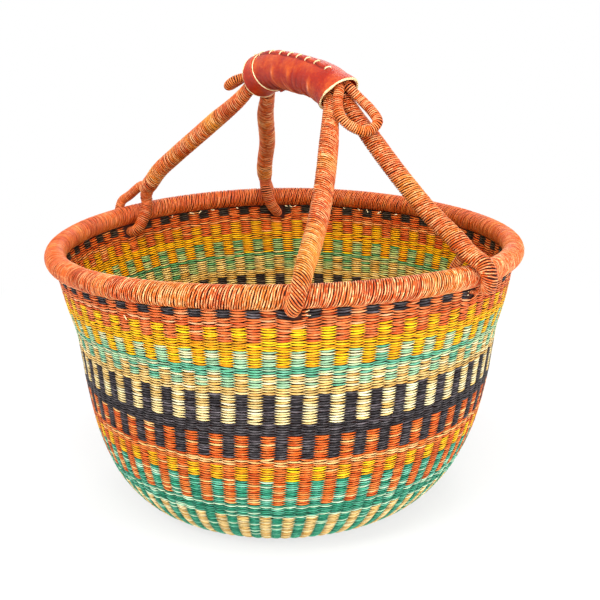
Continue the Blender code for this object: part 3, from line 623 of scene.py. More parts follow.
def vec(x, y, z):
    return np.array([x, y, z], float)


def unit(v):
    return v / np.linalg.norm(v)


def gripPoint(along):
    b = grip["bearing"]
    height = basket["rimHeight"] + grip["above"] + grip["rise"] * (1.0 - along ** 2)
    height -= grip["tilt"] * along + grip["droop"] * along ** 4
    reach = grip["half"] * along
    return vec(math.sin(b) * reach + grip["x"], -math.cos(b) * reach + grip["y"], height)


def gripFrame(along):
    b = grip["bearing"]
    direction = unit(gripPoint(along + 0.01) - gripPoint(along - 0.01))
    across = vec(math.cos(b), math.sin(b), 0.0)
    return gripPoint(along), direction, across, -np.cross(across, direction)


def swell(along):
    places, shares = zip(*grip["swell"])
    return grip["core"] * float(np.interp(along, places, shares))


def socketPlace(end, side, lift, out):
    middle, direction, across, up = gripFrame(end * coreEnd)
    return middle + across * side + up * lift + direction * end * out


def footFrame(foot):
    end = 1 if foot in ("front", "right") else -1
    centre = rimPoints(feet[foot])
    mouth = gripPoint(end)
    inward = unit(vec(mouth[0] - centre[0], mouth[1] - centre[1], 0.0))
    return end, centre, inward, vec(-inward[1], inward[0], 0.0), vec(0, 0, 1)


def legPath(foot, side, steps):
    # From the rim up to the core of the grip, with some steps between the points that shape it
    end, centre, inward, across, up = footFrame(foot)
    around = clear + leg["radius"] if end > 0 else clear
    mouth = socketPlace(end, side * legSide, -legDrop, grip["mouthDepth"])
    reach = vec(mouth[0] - centre[0], mouth[1] - centre[1], 0.0)
    rise = mouth[2] - centre[2]
    beside = vec(-reach[1], reach[0], 0.0)
    points = [centre + (inward * x + up * z + across * y) * around for x, z, y in leg["start"][foot]]
    for x, z, y in leg["up"][foot]:
        points.append(centre + reach * x + up * rise * z + beside * (y + leg["bow"][foot] * 4 * x * (1.0 - x)))
    points.append(mouth)
    line = smoothThrough(points, steps)
    return np.vstack([line, socketPlace(end, side * legSide, -legDrop, basket["gap"])])


def easedRadii(first, last, after, over, count):
    # One radius, then from a point on, over some more, another
    return np.array([first + (last - first) * min(max((k - after) / over, 0.0), 1.0) for k in range(count)])


def legRadii(count):
    return easedRadii(leg["radius"], leg["neck"], count - 6, 4, count)


def spread(coarse, count, before=0):
    # Radii given for two steps between points, spread over a line with the fine steps
    places = before + (np.arange(count) - before) * 2.0 / fineSteps
    places[:before] = np.arange(before)
    places[-1] = len(coarse) - 1
    return np.interp(places, np.arange(len(coarse)), coarse)


def roundFeet(here, across, up, span):
    # Stitches stop at the strands that go through the wall, and bow down round them
    keep = np.ones(len(here), bool)
    span = span.copy()
    slope = np.zeros(len(here))
    for foot, (sideways, deep, half) in footHoles.items():
        _, centre, _, beside, _ = footFrame(foot)
        off = here - (centre + beside * sideways - vec(0, 0, deep))
        level = np.linalg.norm(off[:, :2], axis=1) < weave["footNear"]
        if not level.any():
            continue
        # The wall and the leg don't lie square to each other, so the hole is taken along the row
        u = np.sum(off * across, axis=1)
        v = off[:, 2]
        push = weave["footPush"] * np.exp(-(u / weave["footWidth"]) ** 2)
        push = push * np.exp(-((v + half) / weave["footDepth"]) ** 2) * level
        slope += push * 2 * u / weave["footWidth"] ** 2
        here = here - up * push[:, None]
        reach = 0.5 * span * weave["reach"]
        covered = level & (v - push > -half - weave["footSlack"]) & (np.abs(u) - reach < half)
        left = np.where(u >= 0, half, u - reach)
        right = np.where(u >= 0, u + reach, -half)
        length = np.where(covered, right - left, 2 * reach)
        keep &= ~(covered & (length < weave["leastLeft"] * 2 * reach))
        here = here + across * np.where(covered, 0.5 * (left + right) - u, 0.0)[:, None]
        span = np.where(covered, length / weave["reach"], span)
    return here, span, keep, slope


toneRuns = {}


def strawTones(name, row, number, random):
    # One straw runs past some stakes before the next one is laid in
    key = (name, int(row))
    if key not in toneRuns:
        runs = weave["breaks"] + 1
        toneRuns[key] = (np.sort(random.integers(0, weave["stakes"], weave["breaks"])),
                         random.choice(4, runs, p=weave["toneShares"]),
                         random.normal(1.0, weave["runSpread"], runs))
    breaks, picks, lights = toneRuns[key]
    run = np.searchsorted(breaks, number)
    colours = tones[name][picks[run]] * lights[run][:, None]
    stray = random.random(len(number)) < weave["strays"]
    colours[stray] = tones[name][random.choice(4, stray.sum())]
    return np.clip(colours * random.normal(1.0, weave["toneSpread"], (len(number), 1)), 0.002, 1.0)


def twineWall(inside):
    # Guide points for every stitch of one face, sorted into bands
    random = np.random.default_rng(weave["seed"] + inside)
    collected = {band: [] for band in bands}
    for row in range(1, int(walkLengths[-1] / weave["rowPitch"])):
        height = row * weave["rowPitch"]
        stakes = next(count for limit, count in weave["stakeSteps"] if height >= limit)
        number = np.arange(stakes)
        odd = number % 2
        step = weave["stakes"] / stakes
        place = weave["firstRib"] + (number * step) / weave["stakes"]
        place = place + (0.0 if stakes == weave["stakes"] else 0.5 / stakes)
        share = shareAt(height + 0.5 * weave["rowPitch"] * odd)
        here, across, out = wallFrames(bearingAt(place), share)
        up = np.cross(out, across)
        neighbour = wallPoints(bearingAt(place + step / weave["stakes"]), share)
        here, span, clearOfFeet, slope = roundFeet(here, across, up, np.linalg.norm(neighbour - here, axis=1))
        keep = (share < 0.999) & clearOfFeet
        wanted = odd if not inside else 1 - odd
        tone = np.zeros((stakes, 4))
        plump = random.normal(1.0, weave["plump"], stakes)
        for top, bottom, even, other in zones:
            hit = (share <= top) & (share > bottom)
            for parity, name in ((0, even), (1, other)):
                chosen = hit & (wanted == parity)
                if chosen.any():
                    tone[chosen, :3] = strawTones(name, row, number[chosen], random)
        # Painted light inside: the inner stitches are made warmer and brighter
        if inside:
            tone[:, :3] *= weave["innerPaintedLight"]
        tone[:, 3] = 1.0
        slant = random.normal(0.0, weave["slant"], stakes) + slope * (1 if not inside else -1)
        sunk = basket["wallThickness"] - weave["strawThickness"] if inside else weave["strawThickness"]
        here = here - out * sunk
        if inside:
            out, across = -out, -across
        across = across * np.cos(slant)[:, None] + up * np.sin(slant)[:, None]
        here = here + up * random.normal(0.0, weave["uneven"], stakes)[:, None]
        for band, (low, high, _) in bands.items():
            hit = keep & (share >= low) & (share < high)
            if hit.any():
                collected[band].append((here[hit], across[hit], out[hit], span[hit], plump[hit], tone[hit],
                                        random.random(hit.sum())))
    return {band: [np.concatenate(column) for column in zip(*found)] for band, found in collected.items()}


def twinePiece(inside, band, columns):
    here, across, out, span, plump, tone, seed = columns
    name = "twining_" + ("inner_" if inside else "outer_") + band.split("_")[1]
    guide = newMesh(name + "Points", here)
    addAttributes(guide, across=across, outward=out, span=span, plump=plump, strawTone=tone, strawSeed=seed)
    close = not inside and band != "woven_base"   # what is seen closest gets the rounder stitches
    return grow(name, guide, stitchTree, {
        "Height": weave["strawHeight"], "Thickness": weave["strawThickness"], "Smile": weave["smile"],
        "Rib Drop": 0.7 * weave["ribDrop"] if inside else weave["ribDrop"], "Reach": weave["reach"],
        "Pieces Along": 7 if close else 6, "Sides": 6 if close else 5, "Straw": twinedStraw},
        "basket")


for inside in (0, 1):
    for band, columns in twineWall(inside).items():
        stitches = twinePiece(inside, band, columns)
        if not inside:
            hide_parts(band)
# A closed dark sheet between the outer and the inner straws, painted shade that shows in the gaps
shadeSheetShares = shareAt(np.linspace(0.02, walkLengths[-1] * 0.9995, weave["shadeSheetRings"]))
shadeSheetShares = np.concatenate([[-0.999], shadeSheetShares])
shadeSheetBearings = np.linspace(0, math.tau, weave["shadeSheetSides"], endpoint=False)
shadeSheetRings = []
for depth, shares in zip(weave["shadeSheetDepths"], (shadeSheetShares, shadeSheetShares[::-1])):
    for share in shares:
        here, _, out = wallFrames(shadeSheetBearings, np.full(weave["shadeSheetSides"], share))
        shadeSheetRings.append(here - out * depth)
solidPiece("wall_shade_sheet", np.concatenate(shadeSheetRings), ringFaces(len(shadeSheetRings), weave["shadeSheetSides"]),
           (shadeSheet, ), "basket")
print("wall twined")


def windPiece(name, node, path, radii, winding, closed=False, gold=(), pale=1.0):
    # gold lists places along the path where yellower straw was wound: share of the length, width, strength
    # pale sets the strength of the painted highlight on its crests
    count = len(path)
    guide = newMesh(name + "Path", path, [(i, (i + 1) % count) for i in range(count if closed else count - 1)])
    steps, lengths = walked(np.vstack([path, path[:1]]) if closed else path)
    shares = lengths[:count] / steps.sum()
    golden = sum((strength * np.exp(-((shares - place) / width) ** 4) for place, width, strength in gold),
                 np.zeros(count))
    addAttributes(guide, thick=np.broadcast_to(radii, (count,)), woundGold=golden,
                  woundMixed=np.full(count, winding["mixed"]), woundPale=np.broadcast_to(pale, (count,)))
    turns = steps.sum() / (winding["Straw Width"] * winding["Starts"])
    inputs = {label: winding[label] for label in windingInputs}
    inputs.update({"Points": int(turns * winding["perTurn"]), "Straw": woundStraw, "Shade Bed": shadeSheet})
    piece = grow(name, guide, windTree, inputs, "basket" if closed else "handle")
    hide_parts(node)


# What the tree reads, then how many points make a turn and how much one straw differs from the next
windingInputs = ("Straw Width", "Straw Thickness", "Starts", "Sway", "Sway Length", "Waver", "Waver Pace",
                 "Seed", "Loose")
winding = {name: dict(zip((*windingInputs, "perTurn", "mixed"), values)) for name, values in {
    "rim": (0.00174, 0.00082, 7, 0.26, 40.0, 0.46, 5.0, 3.0, 0.00028, 22, 0.42),
    "front": (0.00178, 0.00083, 10, 0.12, 60.0, 0.24, 4.5, 21.0, 0.00030, 22, 0.45),
    "right": (0.00174, 0.00082, 6, 0.16, 60.0, 0.30, 4.5, 25.0, 0.00024, 22, 0.35),
    "left": (0.00182, 0.00086, 4, 0.20, 60.0, 0.26, 4.0, 31.0, 0.00026, 20, 0.50),
    "back": (0.00200, 0.00094, 4, 0.20, 60.0, 0.62, 7.0, 37.0, 0.00040, 26, 0.40),
    "strand": (0.00154, 0.00077, 2, 0.15, 90.0, 0.16, 3.0, 14.0, 0.00012, 15, 0.25),
    "ear": (0.00156, 0.00078, 1, 0.10, 90.0, 0.06, 3.0, 14.0, 0.00010, 15, 0.25),
}.items()}

rimBearings = np.linspace(0, math.tau, 360, endpoint=False)
rimHighlight = 0.25 + 0.75 * np.clip(np.cos(rimBearings - 0.12) * 1.3 - 0.1, 0.0, 1.0)   # painted highlight, strongest in front
windPiece("wound_rim", "rim_wrap", rimPoints(rimBearings), basket["rimTube"], winding["rim"], closed=True,
          gold=((0.985, 0.012, 0.5), (0.10, 0.015, 0.4), (0.93, 0.02, 0.4)), pale=rimHighlight)


def windLeg(foot, path, radii, gold, pale):
    windPiece("wound_leg_" + foot, "leg_" + foot, path, radii, winding[foot], gold=gold, pale=pale)


def windStrand(foot, path, radii, before, pale):
    strand = {**winding["strand"], "Seed": winding[foot]["Seed"] + 3}
    radii = spread(radii, len(path), before)
    windPiece("wound_strand_" + foot, "foot_loop_" + foot, path, radii, strand, pale=pale)


def nearLeg(foot, gripSide, gold):
    # Over the outside of the rim and up to the grip; its strand goes on through the wall
    coarse = legPath(foot, gripSide, 2)
    coarseRadii = legRadii(len(coarse))
    coarseRadii[2:10] = np.array(leg["taper"]) * leg["radius"]
    path = legPath(foot, gripSide, fineSteps)
    radii = spread(coarseRadii, len(path))
    radii[:6] = np.array(leg["nearTip"]) * leg["radius"]
    windLeg(foot, path, radii, gold, 0.7)
    _, centre, inward, across, up = footFrame(foot)
    low = clear + leg["play"] + leg["nearThin"]
    points = [path[0] + unit(path[1] - path[0]) * leg["nearThin"]]
    for x, z, side in leg["nearLoop"]:
        points.append(centre + inward * x * low + up * z * low + across * side * leg["nearAside"][foot] * low)
    turn = leg["jointTurn"][foot]
    for k in (9, 10):
        along = unit(coarse[k + 1] - coarse[k - 1])
        beside = np.cross(across, along) * math.cos(turn) + across * math.sin(turn)
        points.append(coarse[k] + beside * (leg["radius"] + leg["nearInner"] + basket["gap"]))
    points.append(coarse[12])
    thin = easedRadii(leg["nearThin"], leg["nearInner"], 4, 3, 2 * len(points) - 1)
    windStrand(foot, smoothThrough(points, fineSteps), thin, 0, 0.5)


def farLeg(foot, gripSide, gold):
    # Ends in a fork, whose strands go round the rim and meet in the wall
    coarse = legPath(foot, gripSide, 2)
    coarseRadii = legRadii(len(coarse))
    coarseRadii[0] = leg["farTaper"] * leg["radius"]
    path = legPath(foot, gripSide, fineSteps)
    rise = unit(coarse[1] - coarse[0])
    radii = np.concatenate([[leg["farTip"] * leg["radius"]], spread(coarseRadii, len(path))])
    windLeg(foot, np.vstack([path[0] - rise * leg["farTipLong"], path]), radii, gold, 0.75)
    _, centre, inward, across, up = footFrame(foot)
    side = clear + leg["strand"]
    crotch = coarse[0] - rise * basket["gap"]
    apart = unit(np.cross(rise, across)) * (leg["strand"] + leg["innerStrand"] + 2 * basket["gap"])
    points = [crotch + apart * leg["prong"] - rise * 0.9 * leg["strand"]]
    points += [centre + (inward * x + up * z + across * y) * side for x, z, y in leg["farLoop"][foot]]
    points.append(crotch - apart * (1.0 - leg["prong"]) - rise * leg["strand"])
    # Both ends run up into the leg
    inside = [crotch + apart * aside + rise * leg["strandHidden"] for aside in leg["strandAside"]]
    thick = easedRadii(leg["strand"], leg["innerStrand"], 11, 4, 2 * len(points) + 1)
    windStrand(foot, np.vstack([inside[0], smoothThrough(points, fineSteps), inside[1]]), thick, 1, 0.4)


nearLeg("front", -1, ((0.23, 0.09, 0.9), (0.36, 0.03, 0.5), (0.66, 0.03, 0.5)))
nearLeg("right", 1, ((0.52, 0.06, 0.6), (0.30, 0.03, 0.4)))
farLeg("left", -1, ((0.63, 0.045, 1.0), (0.15, 0.04, 0.6), (0.33, 0.03, 0.5), (0.46, 0.02, 0.6)))
farLeg("back", 1, ((0.10, 0.05, 0.6), (0.62, 0.03, 0.4)))

# Each ear's end of the grip, the strength of the painted highlight on its crests, its winding's seed, and offsets from
# the mouth's middle
ears = {
    "right": (1, 0.8, 41.0, ((-0.03, -0.30, -0.10), (0.02, -0.43, -0.28), (0.19, -0.46, -0.41),
                             (0.37, -0.44, -0.45), (0.50, -0.36, -0.34), (0.42, -0.23, -0.20),
                             (0.31, -0.11, -0.09))),
    "left": (-1, 0.3, 47.0, ((-0.22, 0.26, -0.02), (-0.42, 0.24, -0.08), (-0.53, 0.30, -0.17),
                             (-0.47, 0.42, -0.17), (-0.26, 0.40, -0.05))),
}
earSide = leg["ear"] + 1.5 * basket["gap"]
earLift = 0.55 * grip["core"]
earOut = (0.0006, grip["mouthDepth"] + 1.2 * leg["ear"])
for which, (end, paleAndHighlight, seed, offsets) in ears.items():
    # A thin wound loop that leaves the mouth of the grip and goes in again
    points = [socketPlace(end, -earSide, earLift, out) for out in earOut]
    points += [gripPoint(end) + np.array(offset) * grip["half"] for offset in offsets]
    points += [socketPlace(end, earSide, earLift, out) for out in earOut[::-1]]
    windPiece("wound_ear_" + which, "ear_loop_" + which, smoothThrough(points, fineSteps), leg["ear"] + leg["earWound"],
              {**winding["ear"], "Seed": seed}, gold=((0.42, 0.12, 0.25), ), pale=paleAndHighlight)
print("rim and handle wound")


leatherWork = {
    "stations": 230, "sides": 96, "ridgeAngle": math.radians(106.0), "ridgeEnd": 0.80,
    "ridgeHeight": 0.0014, "ridgeWidth": 0.0026, "seed": 6,
    # Folds across the grip, and fine ones underneath: how many, depth, then the limits of their
    # middle in degrees, width, reach round the grip and lean
    "folds": (6, 0.00034, (150, 270), (0.020, 0.036), (0.4, 0.9), (-0.06, 0.04)),
    "fineFolds": (40, 0.00050, (228, 262), (0.013, 0.022), (0.26, 0.46), (0.08, 0.20)),
    "foldsAlong": (-0.62, 0.80), "highlightStreaks": ((-0.27, 182), (0.13, 180), (0.66, 190)),
    # How the mouths and the collar's edge are slanted: even shift, then at the side and at the top
    "nearMouth": (0.0004, -0.0020, 0.0050), "collarEdge": (-0.0020, 0.0, -0.0060),
    "farMouth": (-0.0020, 0.0, 0.0020),
    # Lacing over the ridge: its stitches' distance, start and length round the grip, slant along it, radius
    "laceStart": -0.90, "lacePitch": 0.0116, "laceFrom": -0.0034, "laceLong": 0.0044, "laceSlant": 0.036,
    "laceRadius": 0.00056, "laceOver": 0.00045, "laceUnder": -0.0006, "threadRadius": 0.00048,
    "knotAngle": math.radians(286), "knotLoops": ((0.0, 0.0016), (1.1, 0.0013), (2.2, 0.0011)),
}
gripLining = (grip["core"] + basket["gap"]) / math.cos(math.pi / 14)
gripOuter = gripLining + grip["leather"]
collarInner = gripOuter + basket["gap"]
collarEnd = -1.0 + grip["collarLength"] / grip["half"]


def turnedFrom(middle, angle):
    return np.mod(angle - middle + math.pi, math.tau) - math.pi


def creaseField(along, angle):
    # A few soft folds across the grip, and many fine slanting ones on its underside, half of them raised. In the
    # leather's colour the folds give painted shade and the raised ones painted highlight
    random = np.random.default_rng(leatherWork["seed"])
    fields = []
    for key in ("folds", "fineFolds"):
        count, _, *limits = leatherWork[key]
        field = np.zeros_like(along)
        for k in range(count):
            centre = random.uniform(*leatherWork["foldsAlong"])
            middle, width, reach, lean = (random.uniform(*limit) for limit in limits)
            turned = turnedFrom(math.radians(middle), angle)
            strength = random.uniform(0.5, 1.0) * (-1.0 if key == "fineFolds" and k % 2 == 0 else 1.0)
            fold = np.exp(-((along - centre - lean * turned) / width) ** 2) * np.exp(-(turned / reach) ** 2)
            field += strength * fold
        fields.append(field)
    soft, fine = fields
    soft = np.clip(soft, 0.0, 1.0)
    for centre, middle in leatherWork["highlightStreaks"]:    # painted highlight: soft pale streaks, also raised a little
        turned = turnedFrom(math.radians(middle), angle)
        streakHighlight = np.exp(-((along - centre - 0.03 * turned) / 0.034) ** 2) * np.exp(-(turned / 0.36) ** 2)
        soft = soft - 1.5 * streakHighlight
    return soft, np.clip(fine, -1.0, 1.0)


def mouthShift(along, angle):
    # Both mouths and the collar's edge are cut on a slant
    shift = 0.0
    for key, places, shares in (("nearMouth", (0.45, 0.65, 0.85, 1.0), (0.0, 0.13, 0.53, 1.0)),
                                ("collarEdge", (-1.0, collarEnd, -0.25), (0.0, 1.0, 0.0)),
                                ("farMouth", (-1.0, collarEnd), (1.0, 0.0))):
        even, sideways, top = leatherWork[key]
        slanted = even + sideways * np.cos(angle) + top * np.sin(angle)
        shift = shift + np.interp(along, places, shares) * slanted
    return shift


def roundGrip(along, angle, radius, shift):
    # Places round the grip; angle, radius and shift are numbers or as long as each other
    middle, direction, across, up = gripFrame(along)
    angle, radius, shift = (np.asarray(v, float)[..., None] for v in (angle, radius, shift))
    return middle + (across * np.cos(angle) + up * np.sin(angle)) * radius + direction * shift


def leatherShell(name, finish, stations, inner, outer, leather, ridged):
    # Outer and inner skin of a sleeve from the far mouth on, joined at both mouths
    sides = leatherWork["sides"]
    alongs = np.linspace(-1.0, finish, stations)
    angles = np.linspace(0, math.tau, sides, endpoint=False)
    grid, turn = np.meshgrid(alongs, angles, indexing="ij")
    soft, fine = creaseField(grid, turn)
    crease = np.clip(0.35 * soft + 0.85 * fine, -1.0, 1.0)
    outside = outer - leatherWork["folds"][1] * soft - leatherWork["fineFolds"][1] * fine
    outside = outside + 0.00016 * np.sin(grid * 9 + turn * 3) + 0.00010 * np.sin(grid * 23 - turn * 2)
    if ridged:
        # The two edges of the hide stand up side by side along the seam
        off = turnedFrom(leatherWork["ridgeAngle"], turn) * outer
        there = np.clip((leatherWork["ridgeEnd"] - grid) / 0.08, 0, 1) * np.clip((grid + 0.94) / 0.05, 0, 1)
        laced = (grid - leatherWork["laceStart"]) * grip["half"] / leatherWork["lacePitch"]
        pucker = 0.55 + 0.45 * np.abs(np.sin(math.pi * laced))
        broad = leatherWork["ridgeWidth"] * (0.62 + 0.46 * pucker)
        raised = np.exp(-(off / broad) ** 4) * leatherWork["ridgeHeight"] * pucker
        parting = np.exp(-(off / 0.0004) ** 2) * 0.0007
        outside = outside + (raised - parting) * there
        # Painted shade: a dark line along both feet of the ridge
        crease = np.clip(crease + np.exp(-((np.abs(off) - 1.22 * broad) / 0.0006) ** 2) * there * 0.9, -1, 1)
    rings = []
    order = [*range(stations), *reversed(range(stations))]
    for number, k in enumerate(order):
        radius = (outside[k] if number < stations else inner) + swell(alongs[k])
        rings.append(roundGrip(alongs[k], angles, radius + np.zeros(sides), mouthShift(alongs[k], angles)))
    faces = [(a, d, c, b) for a, b, c, d in ringFaces(len(rings), sides)]
    piece = solidPiece(name, np.concatenate(rings), faces, (leather, rawStraw), "handle")
    addAttributes(piece.data, leatherCrease=np.concatenate([crease[k] for k in order]))
    # The cut edges are raw
    rawFaces = np.zeros(len(faces), np.int32)
    for k in (stations - 1, len(rings) - 1) if ridged else (len(rings) - 1, ):
        rawFaces[k * sides:(k + 1) * sides] = 1
    piece.data.polygons.foreach_set("material_index", rawFaces)
    return piece


sleevePiece = leatherShell("leather_grip", 1.0, leatherWork["stations"], gripLining, gripOuter,
                           gripLeather, True)
collarPiece = leatherShell("leather_band", collarEnd, 24, collarInner, collarInner + grip["collar"],
                           collarLeather, False)
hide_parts("leather_sleeve", "seam_ridge")
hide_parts("leather_collar")


def tube(path, radius, sides, closed=False):
    # Corners and faces of a plain round tube; the radius is one number or one for each point
    path = np.array(path)
    count = len(path)
    radii = np.broadcast_to(radius, (count,))
    verts = []
    normal = None
    for i in range(count):
        before = path[i - 1] if i or closed else path[0]
        after = path[(i + 1) % count] if i < count - 1 or closed else path[-1]
        way = unit(after - before)
        if normal is None:
            normal = unit(np.cross(way, vec(0.3, 0.5, 0.8)))
        normal = unit(normal - way * np.dot(normal, way))
        other = np.cross(way, normal)
        for k in range(sides):
            angle = math.tau * k / sides
            verts.append(path[i] + (normal * math.cos(angle) + other * math.sin(angle)) * radii[i])
    faces = ringFaces(count, sides, closed)
    if not closed:
        faces += [tuple(range(sides))[::-1], tuple(range((count - 1) * sides, count * sides))]
    return verts, faces


def tubesPiece(name, tubes, finish, body):
    points = []
    faces = []
    for verts, quads in tubes:
        faces += [tuple(len(points) + i for i in quad) for quad in quads]
        points += verts
    return solidPiece(name, points, faces, (finish, ), body)


def ringPath(along, radius, uneven=0.0):
    # Round the leather; uneven gives the wavy line of a cut edge
    angles = np.linspace(0, math.tau, 72, endpoint=False)
    wavy = uneven * (np.sin(3 * angles + 0.7) + 0.7 * np.sin(7 * angles + 2.0) + 0.5 * np.sin(13 * angles))
    return roundGrip(along, angles, np.full(72, radius + swell(along)), mouthShift(along, angles) + wavy)


threadPlace = collarEnd + 0.0010 / grip["half"]
threadTube = tube(ringPath(threadPlace, gripOuter + 0.0005), leatherWork["threadRadius"], 6, True)
threadRing = tubesPiece("collar_thread", [threadTube], rawStraw, "handle")
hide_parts("seam_thread")
edgeWidths = 0.00078 + 0.00022 * np.sin(np.linspace(0, math.tau, 72, endpoint=False) * 5 + 1.0)
tubesPiece("mouth_edges", [tube(ringPath(1.0, gripOuter - 0.0009, 0.00025), edgeWidths, 8, True),
                           tube(ringPath(-1.008, gripOuter + 0.0010, 0.00015), edgeWidths * 0.8, 8, True)],
           rawStraw, "handle")


def circle(middle, first, second, size, count):
    return [middle + (first * math.cos(a) + second * math.sin(a)) * size
            for a in np.linspace(0, math.tau, count, endpoint=False)]


def tieKnot():
    # The thread's ends are tied under the collar
    _, direction, across, up = gripFrame(threadPlace)
    angle = leatherWork["knotAngle"]
    place = roundGrip(threadPlace, angle, gripOuter + 0.0012, mouthShift(threadPlace, angle) + 0.0020)
    tubes = [tube(circle(place, direction, unit(across * math.cos(turn) + up * math.sin(turn)), size, 14),
                  0.0007, 6, True) for turn, size in leatherWork["knotLoops"]]
    tail = [place + direction * t * 0.004 - up * t * t * 0.0012 for t in np.linspace(0, 1, 6)]
    tubes.append(tube(tail, np.linspace(0.0006, 0.0004, 6), 6))
    tubesPiece("thread_knot", tubes, collarLeather, "handle")


def lace():
    # Short slanting straw stitches over the seam's ridge
    tubes = []
    pitch = leatherWork["lacePitch"] / grip["half"]
    for k in range(int((leatherWork["ridgeEnd"] - leatherWork["laceStart"]) / pitch) + 1):
        along = leatherWork["laceStart"] + k * pitch
        path = []
        for m in range(9):
            off = leatherWork["laceFrom"] + leatherWork["laceLong"] * m / 8
            angle = leatherWork["ridgeAngle"] - off / gripOuter
            lift = 0.8 * leatherWork["ridgeHeight"] * math.exp(-(off / leatherWork["ridgeWidth"]) ** 4)
            reach = gripOuter + swell(along) + lift + leatherWork["laceOver" if 0 < m < 8 else "laceUnder"]
            slanted = along + (m / 8 - 0.5) * leatherWork["laceSlant"]
            path.append(roundGrip(slanted, angle, reach, mouthShift(along, angle)))
        tubes.append(tube(path, leatherWork["laceRadius"], 6))
    tubesPiece("grip_lacing", tubes, rawStraw, "handle")


looseStraw = {
    # Under the rim behind, in degrees, with the way in and down; beside the near feet; one in the wall
    "behind": (217, 212, 207, 204, 196, 179.6, 177.8, 176, 168, 160, 155, 152.5, 147, 141), "seed": 5,
    "under": (0.0058, 0.0082), "length": (0.0024, 0.0042), "thick": 0.00054, "footDepths": (0.0108, 0.0132),
    "footAside": 0.0068, "wall": (math.radians(-39.5), 0.920),
    # A yellow straw tied in a small ring at the right foot: inward, up, across, size, thickness
    "ring": (-0.0040, 0.0150, -0.0080, 0.0022, 0.0010),
}


def looseEnds():
    # Pale straw ends that stick out
    random = np.random.default_rng(looseStraw["seed"])
    tubes = []

    def stub(root, way, length, thick):
        bend = unit(random.normal(0, 1, 3)) * 0.25
        path = [root + (way + bend * t) * length * t for t in np.linspace(0, 1, 5)]
        tubes.append(tube(path, np.linspace(thick, 0.7 * thick, 5), 6))

    for degrees in looseStraw["behind"]:
        centre = rimPoints(math.radians(degrees + random.uniform(-0.6, 0.6)))
        inward = unit(vec(-centre[0], -centre[1], 0.0))
        root = centre + inward * looseStraw["under"][0] - vec(0, 0, looseStraw["under"][1])
        sideways = vec(-inward[1], inward[0], 0.0) * random.choice((-1.0, 1.0))
        stub(root, unit(sideways * 0.8 + inward * 0.5 - vec(0, 0, random.uniform(0.1, 0.5))),
             random.uniform(*looseStraw["length"]), looseStraw["thick"])
    for foot, side in (("front", 1.0), ("front", -1.0), ("right", 1.0), ("right", -1.0)):
        _, centre, inward, across, up = footFrame(foot)
        for deep in looseStraw["footDepths"]:
            aside = footHoles[foot][0] + side * looseStraw["footAside"]
            root = centre + across * aside - up * deep - inward * 0.0010
            stub(root, unit(across * side * 0.9 - inward * 0.25 - up * random.uniform(-0.5, 0.5)), 0.0040,
                 looseStraw["thick"] * 0.8)
    here, across, out = (found[0] for found in wallFrames(*np.array(looseStraw["wall"])[:, None]))
    stub(here - out * 0.0006, unit(np.cross(out, across) + out * 0.15), 0.0050, looseStraw["thick"])
    tubesPiece("loose_ends", tubes, rawStraw, "basket")


def yellowRing():
    _, centre, inward, across, up = footFrame("right")
    x, z, y, size, thick = looseStraw["ring"]
    middle = centre + inward * x + up * z + across * y
    path = circle(middle, unit(across + inward * 0.4), unit(up + inward * 0.3), size, 20)
    tubesPiece("yellow_ring", [tube(path, thick, 8, True)], yellowStraw, "handle")


tieKnot()
lace()
looseEnds()
yellowRing()
for node in ("rim_core", "grip_core"):
    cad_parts[node].data.materials.clear()
    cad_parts[node].data.materials.append(bundledGrass)
print("leather sewn")


studio = {
    # Place, aim, size and power of each lamp
    "lamps": {
        "key": ((-1.45, -1.75, 2.1), (0, 0, 0.15), 1.1, 37.0),
        "fill": ((2.2, -1.2, 0.66), (0, 0, 0.12), 1.4, 25.0),
        "back": ((0.2, 1.3, 1.2), (0, 0, 0.15), 0.9, 8.0),
        "top": ((0.15, -0.85, 2.2), (0, 0.12, 0.15), 1.1, 24.0),
        "front": ((0.24, -2.2, 1.2), (0, 0.1, 0.17), 1.3, 31.0)},
    # How white the floor is seen near the basket, where its shadow fades, and where there is none
    "floorLift": 0.72, "shadowFrom": 0.30, "shadowTo": 0.75, "floorHalf": 12.0, "floorZ": -0.0012, "world": 0.50,
    # Fitted to the photograph
    "camera": (0.0, -0.87266, 0.42233), "target": (0.0124, 0.0, 0.1643), "roll": -0.0132, "lens": 64.18,
}


def placeCamera():
    centre = Vector(studio["camera"])
    forward = (Vector(studio["target"]) - centre).normalized()
    right = forward.cross(Vector((0, 0, 1))).normalized()
    up = right.cross(forward)
    turn = studio["roll"]
    columns = (right * math.cos(turn) + up * math.sin(turn), up * math.cos(turn) - right * math.sin(turn),
               -forward, centre)
    data = bpy.data.cameras.new("camera")
    data.sensor_width = 36.0
    data.lens = studio["lens"]
    data.clip_start = 0.01
    camera = bpy.data.objects.new("camera", data)
    bpy.context.scene.collection.objects.link(camera)
    camera.matrix_world = Matrix([[column[k] for column in columns] for k in range(3)] + [[0, 0, 0, 1]])
    bpy.context.scene.camera = camera


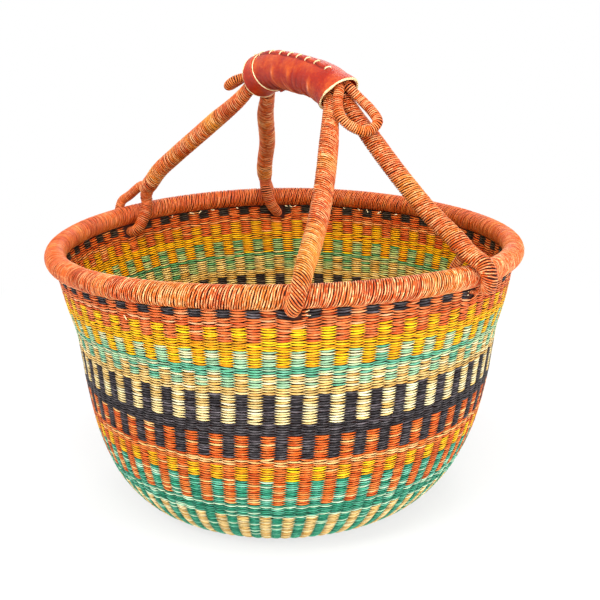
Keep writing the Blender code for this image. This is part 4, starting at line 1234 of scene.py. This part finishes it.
def addLamp(name, place, aim, size, power):
    data = bpy.data.lights.new(name, "AREA")
    data.shape = "SQUARE"
    data.size = size
    data.energy = power
    lamp = bpy.data.objects.new(name, data)
    bpy.context.scene.collection.objects.link(lamp)
    lamp.location = place
    lamp.rotation_euler = (Vector(aim) - Vector(place)).to_track_quat("-Z", "Y").to_euler()


def whiteSeen(bench):
    path = bench.put("ShaderNodeLightPath")
    rays = ("Camera", "Glossy", "Transmission")
    camera, glossy, through = (path.beside("Is " + ray + " Ray") for ray in rays)
    return bench.maths("MAXIMUM", camera, bench.maths("MAXIMUM", glossy, through))


def makeWorld():
    world = bpy.data.worlds.new("studio")
    world.use_nodes = True
    world.node_tree.nodes.clear()
    bench = Bench(world.node_tree)
    strength = whiteSeen(bench) * (1.0 - studio["world"]) + studio["world"]
    glow = bench.put("ShaderNodeBackground", None, {"Color": (1, 1, 1, 1), "Strength": strength})
    bench.put("ShaderNodeOutputWorld", None, {"Surface": glow})
    bpy.context.scene.world = world


def makeFloor():
    # Seen by the camera the floor is white, and near the basket it keeps part of the shadow
    made, bench = newFinish("studio floor")
    bench.dress(Base_Color=(0.9, 0.9, 0.9, 1.0), Roughness=0.9, Specular_IOR_Level=0.0)
    away = bench.vector("LENGTH", bench.place()).beside("Value")
    lift = bench.ranged(away, studio["shadowFrom"], studio["shadowTo"], studio["floorLift"], 1.0)
    white = bench.put("ShaderNodeEmission", None, {"Color": (1, 1, 1, 1), "Strength": 1.0})
    lit = Wire(bench, bench.shader.outputs[0])
    blend = bench.put("ShaderNodeMixShader", None, {0: whiteSeen(bench) * lift, 1: lit, 2: white})
    bench.feed(bench.end, {"Surface": blend})
    far = studio["floorHalf"]
    corners = ((-far, -far, 0), (far, -far, 0), (far, far, 0), (-far, far, 0))
    mesh = newMesh("floor", corners, (), ((0, 1, 2, 3), ))
    mesh.materials.append(made)
    floor = bpy.data.objects.new("floor", mesh)
    bpy.context.scene.collection.objects.link(floor)
    floor.location.z = studio["floorZ"]


placeCamera()
for name, lamp in studio["lamps"].items():
    addLamp(name, *lamp)
makeWorld()
makeFloor()
bpy.context.scene.view_settings.view_transform = "Standard"
print("scene ready")
